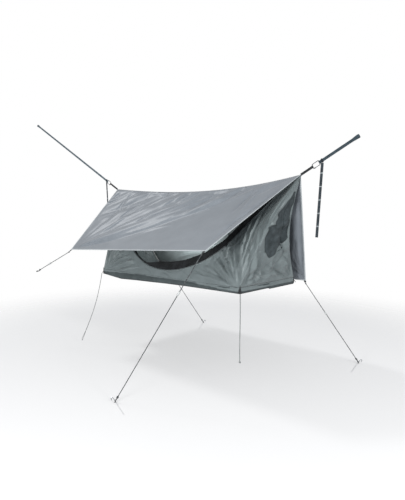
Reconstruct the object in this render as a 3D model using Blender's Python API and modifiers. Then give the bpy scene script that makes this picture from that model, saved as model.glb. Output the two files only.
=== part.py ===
"""Hammock tent: a floor, walls and a two-sided fly slung between two tree straps.

Metres, +Z up. The pieces are drawn in the tent's own frame, with the ground at z = 0, the ridge
along X and the open side at -Y. One empty then carries that frame, so that the origin of the part
is the loop at the tree end of the right strap, which is what holds the tent up.
"""
import bpy
import bmesh
from math import atan2, cos, hypot, pi, radians, sin
from mathutils import Matrix, Vector

# Ridge and fly
ridge_half = 1.49
ridge_height = 2.05
ridge_sag = 0.10
sag_skew_share = 0.25
front_hem_half = 1.126
front_hem_reach = 0.979
front_hem_height_left = 1.242
front_hem_height_right = 1.341
rear_hem_half = 1.20
rear_hem_reach = 0.667
rear_hem_height = 0.909
cover_front = 0.06
cover_rear = 0.035
fly_wrinkle = 0.006
# wrinkles across a sheet, and how many of them the slant crosses
front_wrinkles = (7, 2.5)
rear_wrinkles = (5, -1.5)

# Hanging floor and walls
floor_half_length = 1.14
floor_half_width = 0.50
floor_height = 0.90
tub_height = 0.06
floor_thickness = 0.003
cloth_thickness = 0.0015
fold_depth = 0.014
rear_folds = 7
front_folds = 6
end_ripples = (2.5, 0.8)
fold_slant_share = 0.6
fold_edge_share = 0.1667
fold_zip_clear = 0.12
end_wall_top_half = 0.02
corner_inset = 0.0016
ridge_line_diameter = 0.008
ridge_line_drop = 0.0105

# Door: the curved edge is an arc in the plane of the front wall, with straight runs up to the ridge
door_arc_radius = 1.145
door_arc_half_angle = 52.0
door_sill = 0.089
zip_width = 0.014
zip_thickness = 0.002
zip_strip_width = 0.0224
zip_end_share = 0.012
slider_length = 0.024
slider_width = 0.016
slider_thickness = 0.005
slider_angle = 46.0
pull_length = 0.034
pull_width = 0.009
pull_thickness = 0.0018
net_thickness = 0.0012
net_roll_width = 0.095
net_roll_depth = 0.05
net_roll_below = 0.008
net_roll_lump = 0.010
net_roll_lumps = 11
net_start_share = 0.10
net_end_share = 0.96
net_end_size_share = 0.25
net_taper_share = 0.107

# Cords and what is on them
guy_diameter = 0.008
guy_knot_radius = 0.0062
peg_loop_radius = 0.011
peg_loop_height = 0.019
peg_lean_share = 0.6
runner_length = 0.040
runner_diameter = 0.018
runner_place = 0.40
peg_diameter = 0.006
peg_length = 0.18
peg_head_height = 0.034
peg_hook_radius = 0.010
peg_hook_steps = 8
corner_cord_diameter = 0.010
corner_cord_length = 0.655
loop_cord_diameter = 0.0045
loop_cord_spacing = 0.0065
loop_cord_eye = 0.020
loop_cord_bow = 0.035
loop_cord_eye_share = 0.93
loop_cord_spread_share = 0.90
loop_cord_tip_share = 1.8
end_eye_radius = 0.016
rope_steps = 9
loop_steps = 12
loop_opening_angle = 20.6
# knots as pairs: a place along the cord in knot radii or cord widths, and the size there
pivot_knot_shares = ((-0.85, 0.5), (-0.45, 0.9), (0.0, 1.0), (0.6, 0.8))
loop_knot_shares = ((0.6, 1.4), (1.6, 1.4), (2.2, 1.0))
end_knot_shares = ((0.3, 1.5), (0.9, 1.7), (1.5, 1.4), (1.9, 0.7))

# Where the cords end, read off the photograph with the camera that fits the ridge and floor
guy_ends = {
    "front_right": Vector((0.574, -1.551, 0.0)),
    "front_left": Vector((-1.700, -1.130, 0.941)),
    "rear_right": Vector((1.741, 0.899, 0.0)),
    "rear_left": Vector((-0.781, 1.065, 0.0)),
}
loop_cord_end = Vector((-1.246, -0.788, 0.004))

# Webbing tabs
tab_width = 0.026
tab_length = 0.034
tab_thickness = 0.003
tab_eye_radius = 0.0045
tab_square_share = 0.45
tab_tip_angle = 70
tab_splay_share = 0.55

# Straps, carabiners and buckles
strap_angle = 27.8
strap_width = 0.028
webbing_thickness = 0.002
ridge_loop_width = 0.024
ridge_loop_start = 0.0009
carabiner_centre_right = 0.180
carabiner_centre_left = 0.235
strap_end_right = 0.628
strap_end_left = 2.694
carabiner_length = 0.085
carabiner_width = 0.052
carabiner_wire = 0.007
carabiner_corner = 0.0105
gate_half = 0.0235
gate_wire = 0.006
gate_pin_diameter = 0.002
gate_pin_length = 0.0104
fork_half_width = 0.0049
fork_half_height = 0.0042
fork_length = 0.010
eye_clearance = 0.0009
eye_taper = 0.016
tree_eye_length = 0.060
tree_eye_half = 0.014
buckle_place = 0.030
buckle_length = 0.014
buckle_wall = 0.004
tail_length = 0.70
tail_lean = 3.5
tail_drop = 0.0006

# by side: 1 is the right end and -1 the left one
carabiner_centre = {1: carabiner_centre_right, -1: carabiner_centre_left}
strap_end = {1: strap_end_right, -1: strap_end_left}

# Clearances
gap = 0.0004
bore_clearance = 0.0003
overrun = 0.02

# How finely the cloth and the round pieces are divided
long_steps = 32
ring_steps = 16
arc_steps = 10
tube_resolution = 2


def clear_scene():
    for thing in list(bpy.data.objects):
        bpy.data.objects.remove(thing, do_unlink=True)
    for group in list(bpy.data.collections):
        bpy.data.collections.remove(group)


clear_scene()
parts = bpy.data.collections.new("hammock_tent")
cutters = bpy.data.collections.new("cutters")
for group in (parts, cutters):
    bpy.context.scene.collection.children.link(group)


def finish(name, colour, roughness, metallic=0.0):
    """One Principled material, its colour given as sRGB hex."""
    def linear(value):
        return value / 12.92 if value <= 0.04045 else ((value + 0.055) / 1.055) ** 2.4
    made = bpy.data.materials.new(name)
    made.use_nodes = True
    shader = made.node_tree.nodes["Principled BSDF"]
    rgb = [linear(int(colour[place:place + 2], 16) / 255) for place in (0, 2, 4)]
    shader.inputs["Base Color"].default_value = (*rgb, 1.0)
    shader.inputs["Roughness"].default_value = roughness
    shader.inputs["Metallic"].default_value = metallic
    made.diffuse_color = (*rgb, 1.0)
    return made


fly_cloth = finish("fly_taffeta", "949AA1", 0.55)
rear_cloth = finish("rear_fly_taffeta", "7C7E86", 0.60)
wall_cloth = finish("wall_taffeta", "6F7878", 0.60)
tub_cloth = finish("tub_oxford", "4A5152", 0.65)
net_cloth = finish("mosquito_net", "26282A", 0.80)
black_webbing = finish("black_webbing", "1D1F21", 0.75)
strap_webbing = finish("strap_webbing", "2F3A41", 0.75)
guy_cord = finish("guy_cord", "54585A", 0.80)
light_cord = finish("light_cord", "B5B8B6", 0.80)
aluminium = finish("aluminium", "B9BDC0", 0.30, 1.0)
steel = finish("steel", "8E9194", 0.35, 1.0)
zip_plastic = finish("zip_plastic", "17181A", 0.45)
runner_plastic = finish("runner_plastic", "C9CBCA", 0.50)

# The tent's frame, moved so that the right strap's tree loop is at the world's origin
tree_point = Vector((ridge_half, 0.0, ridge_height)) + strap_end[1] * Vector(
    (cos(radians(strap_angle)), 0.0, sin(radians(strap_angle))))
tent_frame = bpy.data.objects.new("tent_frame", None)
tent_frame.location = -tree_point
parts.objects.link(tent_frame)


def add_object(name, data, surface, pivot=None, matrix=None):
    """Link one piece. Its data is in tent places, less the pivot that its origin stands on."""
    made = bpy.data.objects.new(name, data)
    data.materials.append(surface)
    parts.objects.link(made)
    made.parent = tent_frame
    if matrix is not None:
        made.matrix_local = matrix
    elif pivot is not None:
        made.location = pivot
    return made


def joint_empty(name, place):
    made = bpy.data.objects.new(name, None)
    made.location = place
    parts.objects.link(made)
    made.parent = tent_frame
    return made


def ride(piece, carrier):
    """Hang a piece from the empty on its joint's axis, where it already stands."""
    piece.parent = carrier
    piece.location -= carrier.location


def add_cutter(name, mesh, matrix):
    made = bpy.data.objects.new(name, mesh)
    cutters.objects.link(made)
    made.parent = tent_frame
    made.matrix_local = matrix
    made.hide_render = True
    made.display_type = "WIRE"
    return made


def boolean(target, tool, operation):
    change = target.modifiers.new(tool.name, "BOOLEAN")
    change.operation = operation
    change.object = tool


def cloth(name, surface_at, columns, rows, thickness, surface, pivot=None, hole=None):
    """A grid laid on a surface given as a function of two shares, and thickened about it."""
    sheet = bmesh.new()
    bmesh.ops.create_grid(sheet, x_segments=columns, y_segments=rows, size=1.0)
    if hole:
        low_u, high_u, low_v, high_v = hole
        inside = []
        for face in sheet.faces:
            middle = face.calc_center_median()
            u, v = (middle.x + 1) / 2, (middle.y + 1) / 2
            if low_u < u < high_u and low_v < v < high_v:
                inside.append(face)
        bmesh.ops.delete(sheet, geom=inside, context="FACES")
    origin = pivot or Vector()
    for point in sheet.verts:
        point.co = surface_at((point.co.x + 1) / 2, (point.co.y + 1) / 2) - origin
    bmesh.ops.recalc_face_normals(sheet, faces=sheet.faces[:])
    mesh = bpy.data.meshes.new(name)
    sheet.to_mesh(mesh)
    sheet.free()
    mesh.shade_smooth()
    made = add_object(name, mesh, surface, pivot)
    wall = made.modifiers.new("thickness", "SOLIDIFY")
    wall.thickness = thickness
    wall.offset = 0.0
    return made


def tube_curve(name, points, diameter, radii=None):
    curve = bpy.data.curves.new(name, "CURVE")
    curve.dimensions = "3D"
    curve.bevel_depth = diameter / 2
    curve.bevel_resolution = tube_resolution
    curve.use_fill_caps = True
    spline = curve.splines.new("POLY")
    spline.points.add(len(points) - 1)
    for place, point in enumerate(points):
        spline.points[place].co = (*point, 1.0)
        spline.points[place].radius = radii[place] if radii else 1.0
    return curve


def tube(name, points, diameter, surface, pivot=None, radii=None):
    origin = pivot or Vector()
    local = [Vector(point) - origin for point in points]
    return add_object(name, tube_curve(name, local, diameter, radii), surface, pivot)


def tube_mesh(name, points, diameter):
    """A tube made a mesh with its caps welded, ready to be cut or joined."""
    holder = bpy.data.objects.new(name + "_path", tube_curve(name, points, diameter))
    cutters.objects.link(holder)
    bpy.context.view_layer.update()
    seen = holder.evaluated_get(bpy.context.evaluated_depsgraph_get())
    mesh = bpy.data.meshes.new_from_object(seen)
    bpy.data.objects.remove(holder)
    work = bmesh.new()
    work.from_mesh(mesh)
    bmesh.ops.remove_doubles(work, verts=work.verts[:], dist=gap / 100)
    bmesh.ops.recalc_face_normals(work, faces=work.faces[:])
    work.to_mesh(mesh)
    work.free()
    return mesh


def flat_piece(name, outlines, thickness, surface, matrix):
    """A flat outline, with holes as further outlines, drawn thick about its own plane."""
    curve = bpy.data.curves.new(name, "CURVE")
    curve.dimensions = "2D"
    curve.fill_mode = "BOTH"
    curve.extrude = thickness / 2
    for outline in outlines:
        spline = curve.splines.new("POLY")
        spline.points.add(len(outline) - 1)
        for place, (across, along) in enumerate(outline):
            spline.points[place].co = (across, along, 0.0, 1.0)
        spline.use_cyclic_u = True
    return add_object(name, curve, surface, matrix=matrix)


def box_mesh(name, size):
    work = bmesh.new()
    bmesh.ops.create_cube(work, size=1.0)
    bmesh.ops.scale(work, vec=Vector(size), verts=work.verts[:])
    mesh = bpy.data.meshes.new(name)
    work.to_mesh(mesh)
    work.free()
    return mesh


def rod_mesh(name, radius, length):
    """A cylinder along the local Y axis."""
    work = bmesh.new()
    bmesh.ops.create_cone(work, cap_ends=True, segments=ring_steps, radius1=radius, radius2=radius,
                          depth=length, matrix=Matrix.Rotation(pi / 2, 4, "X"))
    mesh = bpy.data.meshes.new(name)
    work.to_mesh(mesh)
    work.free()
    return mesh


def arc(centre, radius, start, end, steps):
    """Points of an arc in a plane, from one angle to another in degrees."""
    found = []
    for step in range(steps + 1):
        angle = radians(start + (end - start) * step / steps)
        found.append((centre[0] + radius * cos(angle), centre[1] + radius * sin(angle)))
    return found


def ridge_point(u):
    """The top of the ridge: it sags between its ends, a little more towards the right."""
    share = 2 * u - 1
    sag = ridge_sag * (1 - share ** 2) * (1 + sag_skew_share * share)
    return Vector((share * ridge_half, 0.0, ridge_height - sag))


def mix(first, second, share):
    return first * (1 - share) + second * share


def front_hem_point(u):
    height = front_hem_height_left * (1 - u) + front_hem_height_right * u
    return Vector(((2 * u - 1) * front_hem_half, -front_hem_reach, height))


def rear_hem_point(u):
    return Vector(((2 * u - 1) * rear_hem_half, rear_hem_reach, rear_hem_height))


def wrinkle(u, v, counts):
    """Slanting wrinkles that die out at the edges of a sheet."""
    count, slant = counts
    edge = sin(pi * u) * sin(pi * v)
    return sin(2 * pi * (count * u + slant * v)) * edge


def front_fly_at(u, v):
    start = cover_front / front_hem_reach
    share = start + (1 - start) * v
    point = mix(ridge_point(u), front_hem_point(u), share)
    point.z += fly_wrinkle * wrinkle(u, v, front_wrinkles) * (1 - v / 2)
    if v == 0:
        point.y -= gap
    return point


def rear_fly_at(u, v):
    start = cover_rear / rear_hem_reach
    share = start + (1 - start) * v
    point = mix(ridge_point(u), rear_hem_point(u), share)
    point.y += fly_wrinkle * wrinkle(u, v, rear_wrinkles)
    if v == 0:
        point.y += gap
    return point


def cover_at(u, v):
    """The strip over the ridge, from its front edge to its rear edge."""
    if v < 0.5:
        share = (1 - 2 * v) * (cover_front - gap) / front_hem_reach
        return mix(ridge_point(u), front_hem_point(u), share)
    share = (2 * v - 1) * (cover_rear - gap) / rear_hem_reach
    return mix(ridge_point(u), rear_hem_point(u), share)


def make_fly():
    cloth("ridge_cover", cover_at, long_steps, 4, cloth_thickness, fly_cloth)
    cloth("front_fly", front_fly_at, long_steps, 12, cloth_thickness, fly_cloth, front_axis)
    cloth("rear_fly", rear_fly_at, long_steps, 8, cloth_thickness, rear_cloth, rear_axis)
    line = []
    for step in range(long_steps + 1):
        line.append(ridge_point(step / long_steps) - Vector((0.0, 0.0, ridge_line_drop)))
    tube("ridge_line", line, ridge_line_diameter, guy_cord)


def make_tub():
    """The floor with its low upstanding edge: a tray with an open top."""
    inner_length = floor_half_length - floor_thickness
    inner_width = floor_half_width - floor_thickness
    tray = bmesh.new()
    size = Vector((2 * floor_half_length, 2 * floor_half_width, tub_height))
    bmesh.ops.create_cube(tray, size=1.0)
    bmesh.ops.scale(tray, vec=size, verts=tray.verts[:])
    middle = Vector((0.0, 0.0, floor_height + tub_height / 2))
    bmesh.ops.translate(tray, vec=middle, verts=tray.verts[:])
    top = [face for face in tray.faces if face.normal.z > 0.5]
    bmesh.ops.inset_region(tray, faces=top, thickness=floor_thickness)
    for point in top[0].verts:
        point.co.z = floor_height + floor_thickness
        point.co.x = inner_length if point.co.x > 0 else -inner_length
        point.co.y = inner_width if point.co.y > 0 else -inner_width
    mesh = bpy.data.meshes.new("tub_floor")
    tray.to_mesh(mesh)
    tray.free()
    add_object("tub_floor", mesh, tub_cloth)


# The walls stand on the tub's rim and meet under the ridge line
wall_foot = floor_height + tub_height + gap + cloth_thickness / 4
wall_top_clear = ridge_line_diameter / 2 + gap + cloth_thickness / 2
foot_reach = floor_half_width - floor_thickness / 2
foot_end = floor_half_length - floor_thickness / 2


def wall_head(u):
    """Where a long wall's own line ends under the ridge line."""
    return ridge_point(u) - Vector((0.0, 0.0, ridge_line_drop))


def folds(u, v, count):
    """Hanging folds that vanish along every edge of a wall."""
    edge = min(1.0, u / fold_edge_share, (1 - u) / fold_edge_share) * sin(pi * v)
    return fold_depth * edge * sin(2 * pi * (count * u + fold_slant_share * v * (u - 0.5)))


def wall_plane(side):
    """Foot, upward direction and outward direction of a long wall, as if the ridge were straight."""
    foot = Vector((0.0, side * foot_reach, wall_foot))
    head = Vector((0.0, 0.0, ridge_height - ridge_line_drop))
    up = (head - foot).normalized()
    out = Vector((0.0, -side * up.z, 0.0)) + Vector((0.0, 0.0, side * up.y))
    return foot, up, -out.normalized()


def rear_wall_at(u, v):
    foot = Vector(((2 * u - 1) * (foot_end - corner_inset), foot_reach, wall_foot))
    head = wall_head(u)
    head.x = (2 * u - 1) * (ridge_half - corner_inset)
    direction = (head - foot).normalized()
    point = mix(foot, head - direction * wall_top_clear, v)
    point.y += folds(u, v, rear_folds)
    return point


front_foot, front_up, front_out = wall_plane(-1)
door_centre = front_foot + front_up * (door_sill + door_arc_radius)
wall_slope_length = (Vector((0.0, 0.0, ridge_height - ridge_line_drop)) - front_foot).length


def ridge_underside(x):
    """Height of a wall's top edge where it meets the ridge line's underside."""
    return ridge_point(0.5 + 0.5 * x / ridge_half).z - ridge_line_drop - wall_top_clear


def door_run():
    """Length of the straight part of the door's edge, which ends under the sagging ridge."""
    half = radians(door_arc_half_angle)
    arc_end = door_sill + door_arc_radius * (1 - cos(half))
    run = (wall_slope_length - arc_end) / sin(half)
    for _ in range(8):
        reach = door_arc_radius * sin(half) + run * cos(half)
        top = min(ridge_underside(-reach), ridge_underside(reach))
        run = ((top - wall_foot) / front_up.z - arc_end) / sin(half)
    return run


def door_edge(share):
    """The door's edge and its direction, from the left end under the ridge to the right end."""
    half = radians(door_arc_half_angle)
    run = door_run_length
    total = 2 * (run + half * door_arc_radius)
    along = share * total
    if along < run:
        angle, past = -half, -(run - along)
    elif along > total - run:
        angle, past = half, along - (total - run)
    else:
        angle, past = (along - total / 2) / door_arc_radius, 0.0
    tangent = Vector((cos(angle), 0.0, 0.0)) + front_up * sin(angle)
    radial = Vector((sin(angle), 0.0, 0.0)) - front_up * cos(angle)
    return door_centre + radial * door_arc_radius + tangent * past, radial


door_run_length = door_run()
horn_share = 0.0625
wall_rows = 8
wall_columns = 48


def front_wall_head(u):
    """The front wall's top edge: the door's edge, and a short run under the ridge at either end."""
    if horn_share <= u <= 1 - horn_share:
        return door_edge((u - horn_share) / (1 - 2 * horn_share))
    inner = door_edge(0.0 if u < 0.5 else 1.0)[0]
    outer_x = (-1 if u < 0.5 else 1) * (ridge_half - corner_inset)
    share = (horn_share - min(u, 1 - u)) / horn_share
    x = inner.x * (1 - share) + outer_x * share
    height = (ridge_underside(x) - wall_foot) / front_up.z
    return front_foot + front_up * height + Vector((x, 0.0, 0.0)), -front_up


def door_clearance(point):
    """How far a place on the flat wall lies outside the door's edge."""
    away = point - door_centre
    half = radians(door_arc_half_angle)
    across, down = abs(away.x), -away.dot(front_up)
    if atan2(across, down) <= half:
        return hypot(across, down) - door_arc_radius
    return across * sin(half) + down * cos(half) - door_arc_radius


def front_wall_at(u, v):
    """The last row of the grid is the flat strip that carries the zip."""
    foot = Vector(((2 * u - 1) * (foot_end - corner_inset), 0.0, 0.0)) + front_foot
    head, below = front_wall_head(u)
    neck = head + below * zip_strip_width
    body = 1 - 1 / wall_rows
    if v > body:
        return mix(neck, head, (v - body) / (1 - body))
    share = v / body
    # the folds only stand outwards, clear of the gathered net, and fade towards the zip and its pull
    flat = mix(foot, neck, share)
    slack = min(1.0, max(0.0, door_clearance(flat) - zip_strip_width) / fold_zip_clear)
    return flat + front_out * (slack * max(0.0, folds(u, share, front_folds)))


def band_point(share, across, outward):
    """A place on the door's edge, so far below it and so far out from the wall."""
    point, radial = door_edge(share)
    return point + radial * across + front_out * outward


def zip_at(u, v):
    share = zip_end_share + (1 - 2 * zip_end_share) * u
    out = cloth_thickness / 2 + gap + zip_thickness / 2
    return band_point(share, zip_width * v, out)


def net_roll(u, v):
    """The lowered net, gathered along the inside of the door's edge: a lumpy closed roll."""
    share = mix(net_start_share, net_end_share, u)
    shrink = net_end_size_share
    taper = min(1.0, shrink + min(u, 1 - u) * (1 - shrink) / net_taper_share)
    turn = 2 * pi * v
    lump = net_roll_lump * sin(2 * pi * net_roll_lumps * u + 2 * turn)
    wide = (net_roll_width / 2 + lump) * taper
    deep = (net_roll_depth / 2 + lump / 2) * taper
    inward = cloth_thickness / 2 + gap + deep * (1 + sin(turn))
    return band_point(share, net_roll_below + wide * cos(turn), -inward)


def make_net_roll():
    sides = 12
    stations = 38
    work = bmesh.new()
    bmesh.ops.create_cone(work, cap_ends=True, segments=sides, radius1=1.0, radius2=1.0, depth=2.0)
    long_edges = [edge for edge in work.edges if abs(edge.verts[0].co.z - edge.verts[1].co.z) > 1]
    bmesh.ops.subdivide_edges(work, edges=long_edges, cuts=stations, use_grid_fill=True)
    for point in work.verts:
        turn = atan2(point.co.y, point.co.x) / (2 * pi)
        point.co = net_roll((point.co.z + 1) / 2, turn)
    bmesh.ops.recalc_face_normals(work, faces=work.faces[:])
    mesh = bpy.data.meshes.new("door_net")
    work.to_mesh(mesh)
    work.free()
    mesh.shade_smooth()
    add_object("door_net", mesh, net_cloth)


def end_wall_surface(side, outward=0.0):
    """An end wall leans out from the floor's short edge to the end of the ridge."""
    foot_x = side * foot_end
    rise = ridge_height - wall_foot
    drop = ridge_line_drop + wall_top_clear + gap + end_wall_top_half * rise / foot_reach
    head_x = side * (ridge_half - drop * (ridge_half - foot_end) / rise)
    lean = Vector((side * rise, 0.0, foot_end - ridge_half)).normalized()
    count, slant = end_ripples

    def at(u, v):
        foot = Vector((foot_x, (2 * u - 1) * (foot_reach - corner_inset), wall_foot))
        head = Vector((head_x, (2 * u - 1) * end_wall_top_half, ridge_height - drop))
        point = mix(foot, head, v)
        edge = sin(pi * u) * sin(pi * v)
        ripple = sin(2 * pi * (count * u + slant * v)) * edge
        return point + lean * (outward + fold_depth * ripple)
    return at


end_columns = 12
end_rows = 10
window_columns = (2, 10)
window_rows = (3, 9)


def make_end_wall(side, name):
    """The window is left open in the wall, and a net one cell larger all round lies behind it."""
    low_u, high_u = [column / end_columns for column in window_columns]
    low_v, high_v = [row / end_rows for row in window_rows]
    cloth("end_wall_" + name, end_wall_surface(side), end_columns, end_rows, cloth_thickness, wall_cloth,
          hole=(low_u, high_u, low_v, high_v))
    behind = end_wall_surface(side, -(cloth_thickness / 2 + gap + net_thickness / 2))
    wide = window_columns[1] - window_columns[0] + 2
    high = window_rows[1] - window_rows[0] + 2

    def net_at(u, v):
        return behind((window_columns[0] - 1 + wide * u) / end_columns,
                      (window_rows[0] - 1 + high * v) / end_rows)
    cloth("window_net_" + name, net_at, wide, high, net_thickness, net_cloth)


def make_walls():
    cloth("rear_wall", rear_wall_at, long_steps, 8, cloth_thickness, wall_cloth)
    cloth("front_wall", front_wall_at, wall_columns, wall_rows, cloth_thickness, wall_cloth)
    for side, name in ((-1, "left"), (1, "right")):
        make_end_wall(side, name)


def make_zip():
    cloth("door_zip", zip_at, wall_columns, 1, zip_thickness, zip_plastic)
    angle = radians(slider_angle)
    tangent = Vector((cos(angle), 0.0, 0.0)) + front_up * sin(angle)
    radial = Vector((sin(angle), 0.0, 0.0)) - front_up * cos(angle)
    front = cloth_thickness / 2 + gap + zip_thickness + gap + slider_thickness / 2
    seat = door_centre + radial * (door_arc_radius + zip_width / 2) + front_out * front
    # local X runs along the zip, Y across it and Z out of the wall
    turn = Matrix((tangent, front_out.cross(tangent), front_out)).transposed().to_4x4()
    slider = add_object("zip_slider", box_mesh("zip_slider", (slider_length, slider_width, slider_thickness)),
                        zip_plastic, matrix=Matrix.Translation(seat) @ turn)
    ride(slider, joint_empty("zip_turn", door_centre))
    round_edges = slider.modifiers.new("round", "BEVEL")
    round_edges.width = slider_thickness / 4
    round_edges.segments = 2
    # the pull hangs from an axis along X of the tent, just in front of the slider
    pull_axis = seat + front_out * (slider_thickness / 2 + gap + pull_thickness / 2)
    half = pull_width / 2
    outline = [(half, 0.0)] + arc((0.0, -pull_length + half), half, 0, -180, 8)
    outline += [(-half, 0.0)]
    plane = Matrix((Vector((1.0, 0.0, 0.0)), front_up, Vector((1.0, 0.0, 0.0)).cross(front_up)))
    hang = Matrix.Translation(pull_axis) @ plane.transposed().to_4x4()
    flat_piece("zip_pull", [outline], pull_thickness, aluminium, hang)


def webbing_eye(place, reach, half, facing):
    """The hole of a sewn eye: round at its end, drawn to a point where the layers are sewn."""
    hole = arc((place, 0.0), half, 90 if facing < 0 else -90, 270 if facing < 0 else 90, arc_steps)
    hole.append((place - facing * reach, 0.0))
    return hole


def webbing_band(first, last, first_half, last_half, first_reach, last_reach):
    """Edge-on outline of a doubled strap with a sewn eye, or a plain end, at either end."""
    band = webbing_thickness
    outer = []
    if first_half:
        outer.append((first + first_reach, band))
        outer += arc((first, 0.0), first_half + band, 90, 270, arc_steps)
        outer.append((first + first_reach, -band))
    else:
        outer += [(first, band), (first, -band)]
    if last_half:
        outer.append((last - last_reach, -band))
        outer += arc((last, 0.0), last_half + band, -90, 90, arc_steps)
        outer.append((last - last_reach, band))
    else:
        outer += [(last, -band), (last, band)]
    holes = []
    if first_half:
        holes.append(webbing_eye(first, first_reach, first_half, -1))
    if last_half:
        holes.append(webbing_eye(last, last_reach, last_half, 1))
    return [outer] + holes


def make_hardware(side, name):
    """Ridge loop, carabiner, strap, buckle and tail, all along one line that rises to the tree."""
    angle = radians(strap_angle)
    along = Vector((side * cos(angle), 0.0, sin(angle)))
    across = Vector((0.0, float(side), 0.0))
    wide = Vector((-side * sin(angle), 0.0, cos(angle)))
    apex = Vector((side * ridge_half, 0.0, ridge_height))
    line = Matrix.Translation(apex) @ Matrix((along, across, wide)).transposed().to_4x4()
    # an edge-on strap is drawn in the plane of along and across, and is as thick as it is wide
    centre = carabiner_centre[side]
    reach = (carabiner_length - carabiner_wire) / 2
    half = (carabiner_width - carabiner_wire) / 2
    eye = carabiner_wire / 2 + eye_clearance
    loop = webbing_band(ridge_loop_start, centre - reach, 0.0, eye, 0.0, eye_taper)
    flat_piece("ridge_loop_" + name, loop, ridge_loop_width, black_webbing, line)
    strap = webbing_band(centre + reach, strap_end[side], eye, tree_eye_half, eye_taper, tree_eye_length)
    flat_piece("tree_strap_" + name, strap, strap_width, strap_webbing, line)

    # carabiner frame: round the two ends and along the back, open where the gate is
    corner = carabiner_corner
    straight = reach - corner
    side_run = half - corner
    path = [(-gate_half - gap, -half), (-straight, -half)]
    path += arc((-straight, -side_run), corner, -90, -180, 4)[1:]
    path += arc((-straight, side_run), corner, 180, 90, 4)
    path += arc((straight, side_run), corner, 90, 0, 4)
    path += arc((straight, -side_run), corner, 0, -90, 4)
    path += [(gate_half + gap, -half)]
    body = [Vector((x, 0.0, z)) for x, z in path]
    place = line @ Matrix.Translation((centre, 0.0, 0.0))
    frame = add_object("carabiner_" + name, tube_mesh("carabiner_" + name, body, carabiner_wire),
                       aluminium, matrix=place)
    hinge = Vector((-gate_half + gate_wire / 2, 0.0, -half))
    hinge_place = place @ Matrix.Translation(hinge)
    block_centre = Vector((-fork_length / 2, 0.0, 0.0))
    block_size = (fork_length, 2 * fork_half_width, 2 * fork_half_height)
    block = add_cutter("fork_block_" + name, box_mesh("fork_block", block_size),
                       hinge_place @ Matrix.Translation(block_centre))
    disc = add_cutter("fork_disc_" + name, rod_mesh("fork_disc", fork_half_height, 2 * fork_half_width),
                      hinge_place)
    slot_start = -gate_wire / 2 - bore_clearance
    slot_size = (overrun, gate_wire + 2 * bore_clearance, overrun)
    slot = add_cutter("fork_slot_" + name, box_mesh("fork_slot", slot_size),
                      hinge_place @ Matrix.Translation((slot_start + overrun / 2, 0.0, 0.0)))
    bore = add_cutter("pin_bore_" + name,
                      rod_mesh("pin_bore", gate_pin_diameter / 2 + bore_clearance, overrun), hinge_place)
    boolean(frame, block, "UNION")
    boolean(frame, disc, "UNION")
    boolean(frame, slot, "DIFFERENCE")
    boolean(frame, bore, "DIFFERENCE")

    gate_points = [Vector(), Vector((2 * gate_half - gate_wire / 2, 0.0, 0.0))]
    gate = add_object("carabiner_gate_" + name, tube_mesh("carabiner_gate_" + name, gate_points, gate_wire),
                      aluminium, matrix=hinge_place)
    ball_shape = bmesh.new()
    bmesh.ops.create_uvsphere(ball_shape, u_segments=12, v_segments=8, radius=gate_wire / 2)
    ball_mesh = bpy.data.meshes.new("gate_ball")
    ball_shape.to_mesh(ball_mesh)
    ball_shape.free()
    ball = add_cutter("gate_ball_" + name, ball_mesh, hinge_place)
    boolean(gate, ball, "UNION")
    boolean(gate, bore, "DIFFERENCE")
    add_object("gate_pin_" + name, rod_mesh("gate_pin_" + name, gate_pin_diameter / 2, gate_pin_length),
               steel, matrix=hinge_place)

    # buckle: a frame round the doubled strap, just past the carabiner
    inner_half = strap_width / 2 + bore_clearance
    inner_deep = webbing_thickness + bore_clearance
    outer_half = inner_half + buckle_wall
    outer_deep = inner_deep + buckle_wall
    rim = [(-outer_deep, -outer_half), (outer_deep, -outer_half), (outer_deep, outer_half),
           (-outer_deep, outer_half)]
    mouth = [(-inner_deep, -inner_half), (inner_deep, -inner_half), (inner_deep, inner_half),
             (-inner_deep, inner_half)]
    buckle_at = centre + reach + buckle_place
    upright = Matrix(((0, 0, 1), (1, 0, 0), (0, 1, 0))).to_4x4()
    flat_piece("strap_buckle_" + name, [rim, mouth], buckle_length, aluminium,
               line @ Matrix.Translation((buckle_at, 0.0, 0.0)) @ upright)

    # tail: hangs under the buckle from a fold whose round edge is the axis it swings about
    lowest = apex + along * (buckle_at - buckle_length / 2) - wide * outer_half
    slope = strap_width / 2 * sin(radians(tail_lean))
    top = Vector((lowest.x, 0.0, lowest.z - gap - tail_drop - webbing_thickness / 2 - slope))
    edge = webbing_thickness / 2
    profile = arc((0.0, 0.0), edge, 0, 180, 6) + [(-edge, -tail_length), (edge, -tail_length)]
    lean = radians(tail_lean)
    down = Matrix.Translation(top) @ Matrix.Rotation(side * lean, 4, "Y")
    # local X of the outline is across the tail's thickness and Y is up
    standing = down @ Matrix(((0, 0, 1), (1, 0, 0), (0, 1, 0))).to_4x4()
    flat_piece("strap_tail_" + name, [profile], strap_width, strap_webbing, standing)


def corner_tab(name, root, outward, normal):
    """A webbing tab with an eyelet, pointing away from the cloth that it is sewn to.

    Gives back the tab, the middle of its tip and the direction that it is thick in."""
    half = tab_width / 2
    square = tab_length * tab_square_share
    outline = [(0.0, -half), (square, -half)]
    tip_radius = tab_eye_radius * 2
    outline += arc((tab_length - tip_radius, 0.0), tip_radius, -tab_tip_angle, tab_tip_angle, 5)
    outline += [(square, half), (0.0, half)]
    eye = arc((tab_length - tip_radius, 0.0), tab_eye_radius, 0, 360, 8)[:-1]
    x = outward.normalized()
    z = (normal - x * normal.dot(x)).normalized()
    y = z.cross(x)
    matrix = Matrix.Translation(root) @ Matrix((x, y, z)).transposed().to_4x4()
    tab = flat_piece(name, [outline, eye], tab_thickness, black_webbing, matrix)
    return tab, root + x * tab_length, z


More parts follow.
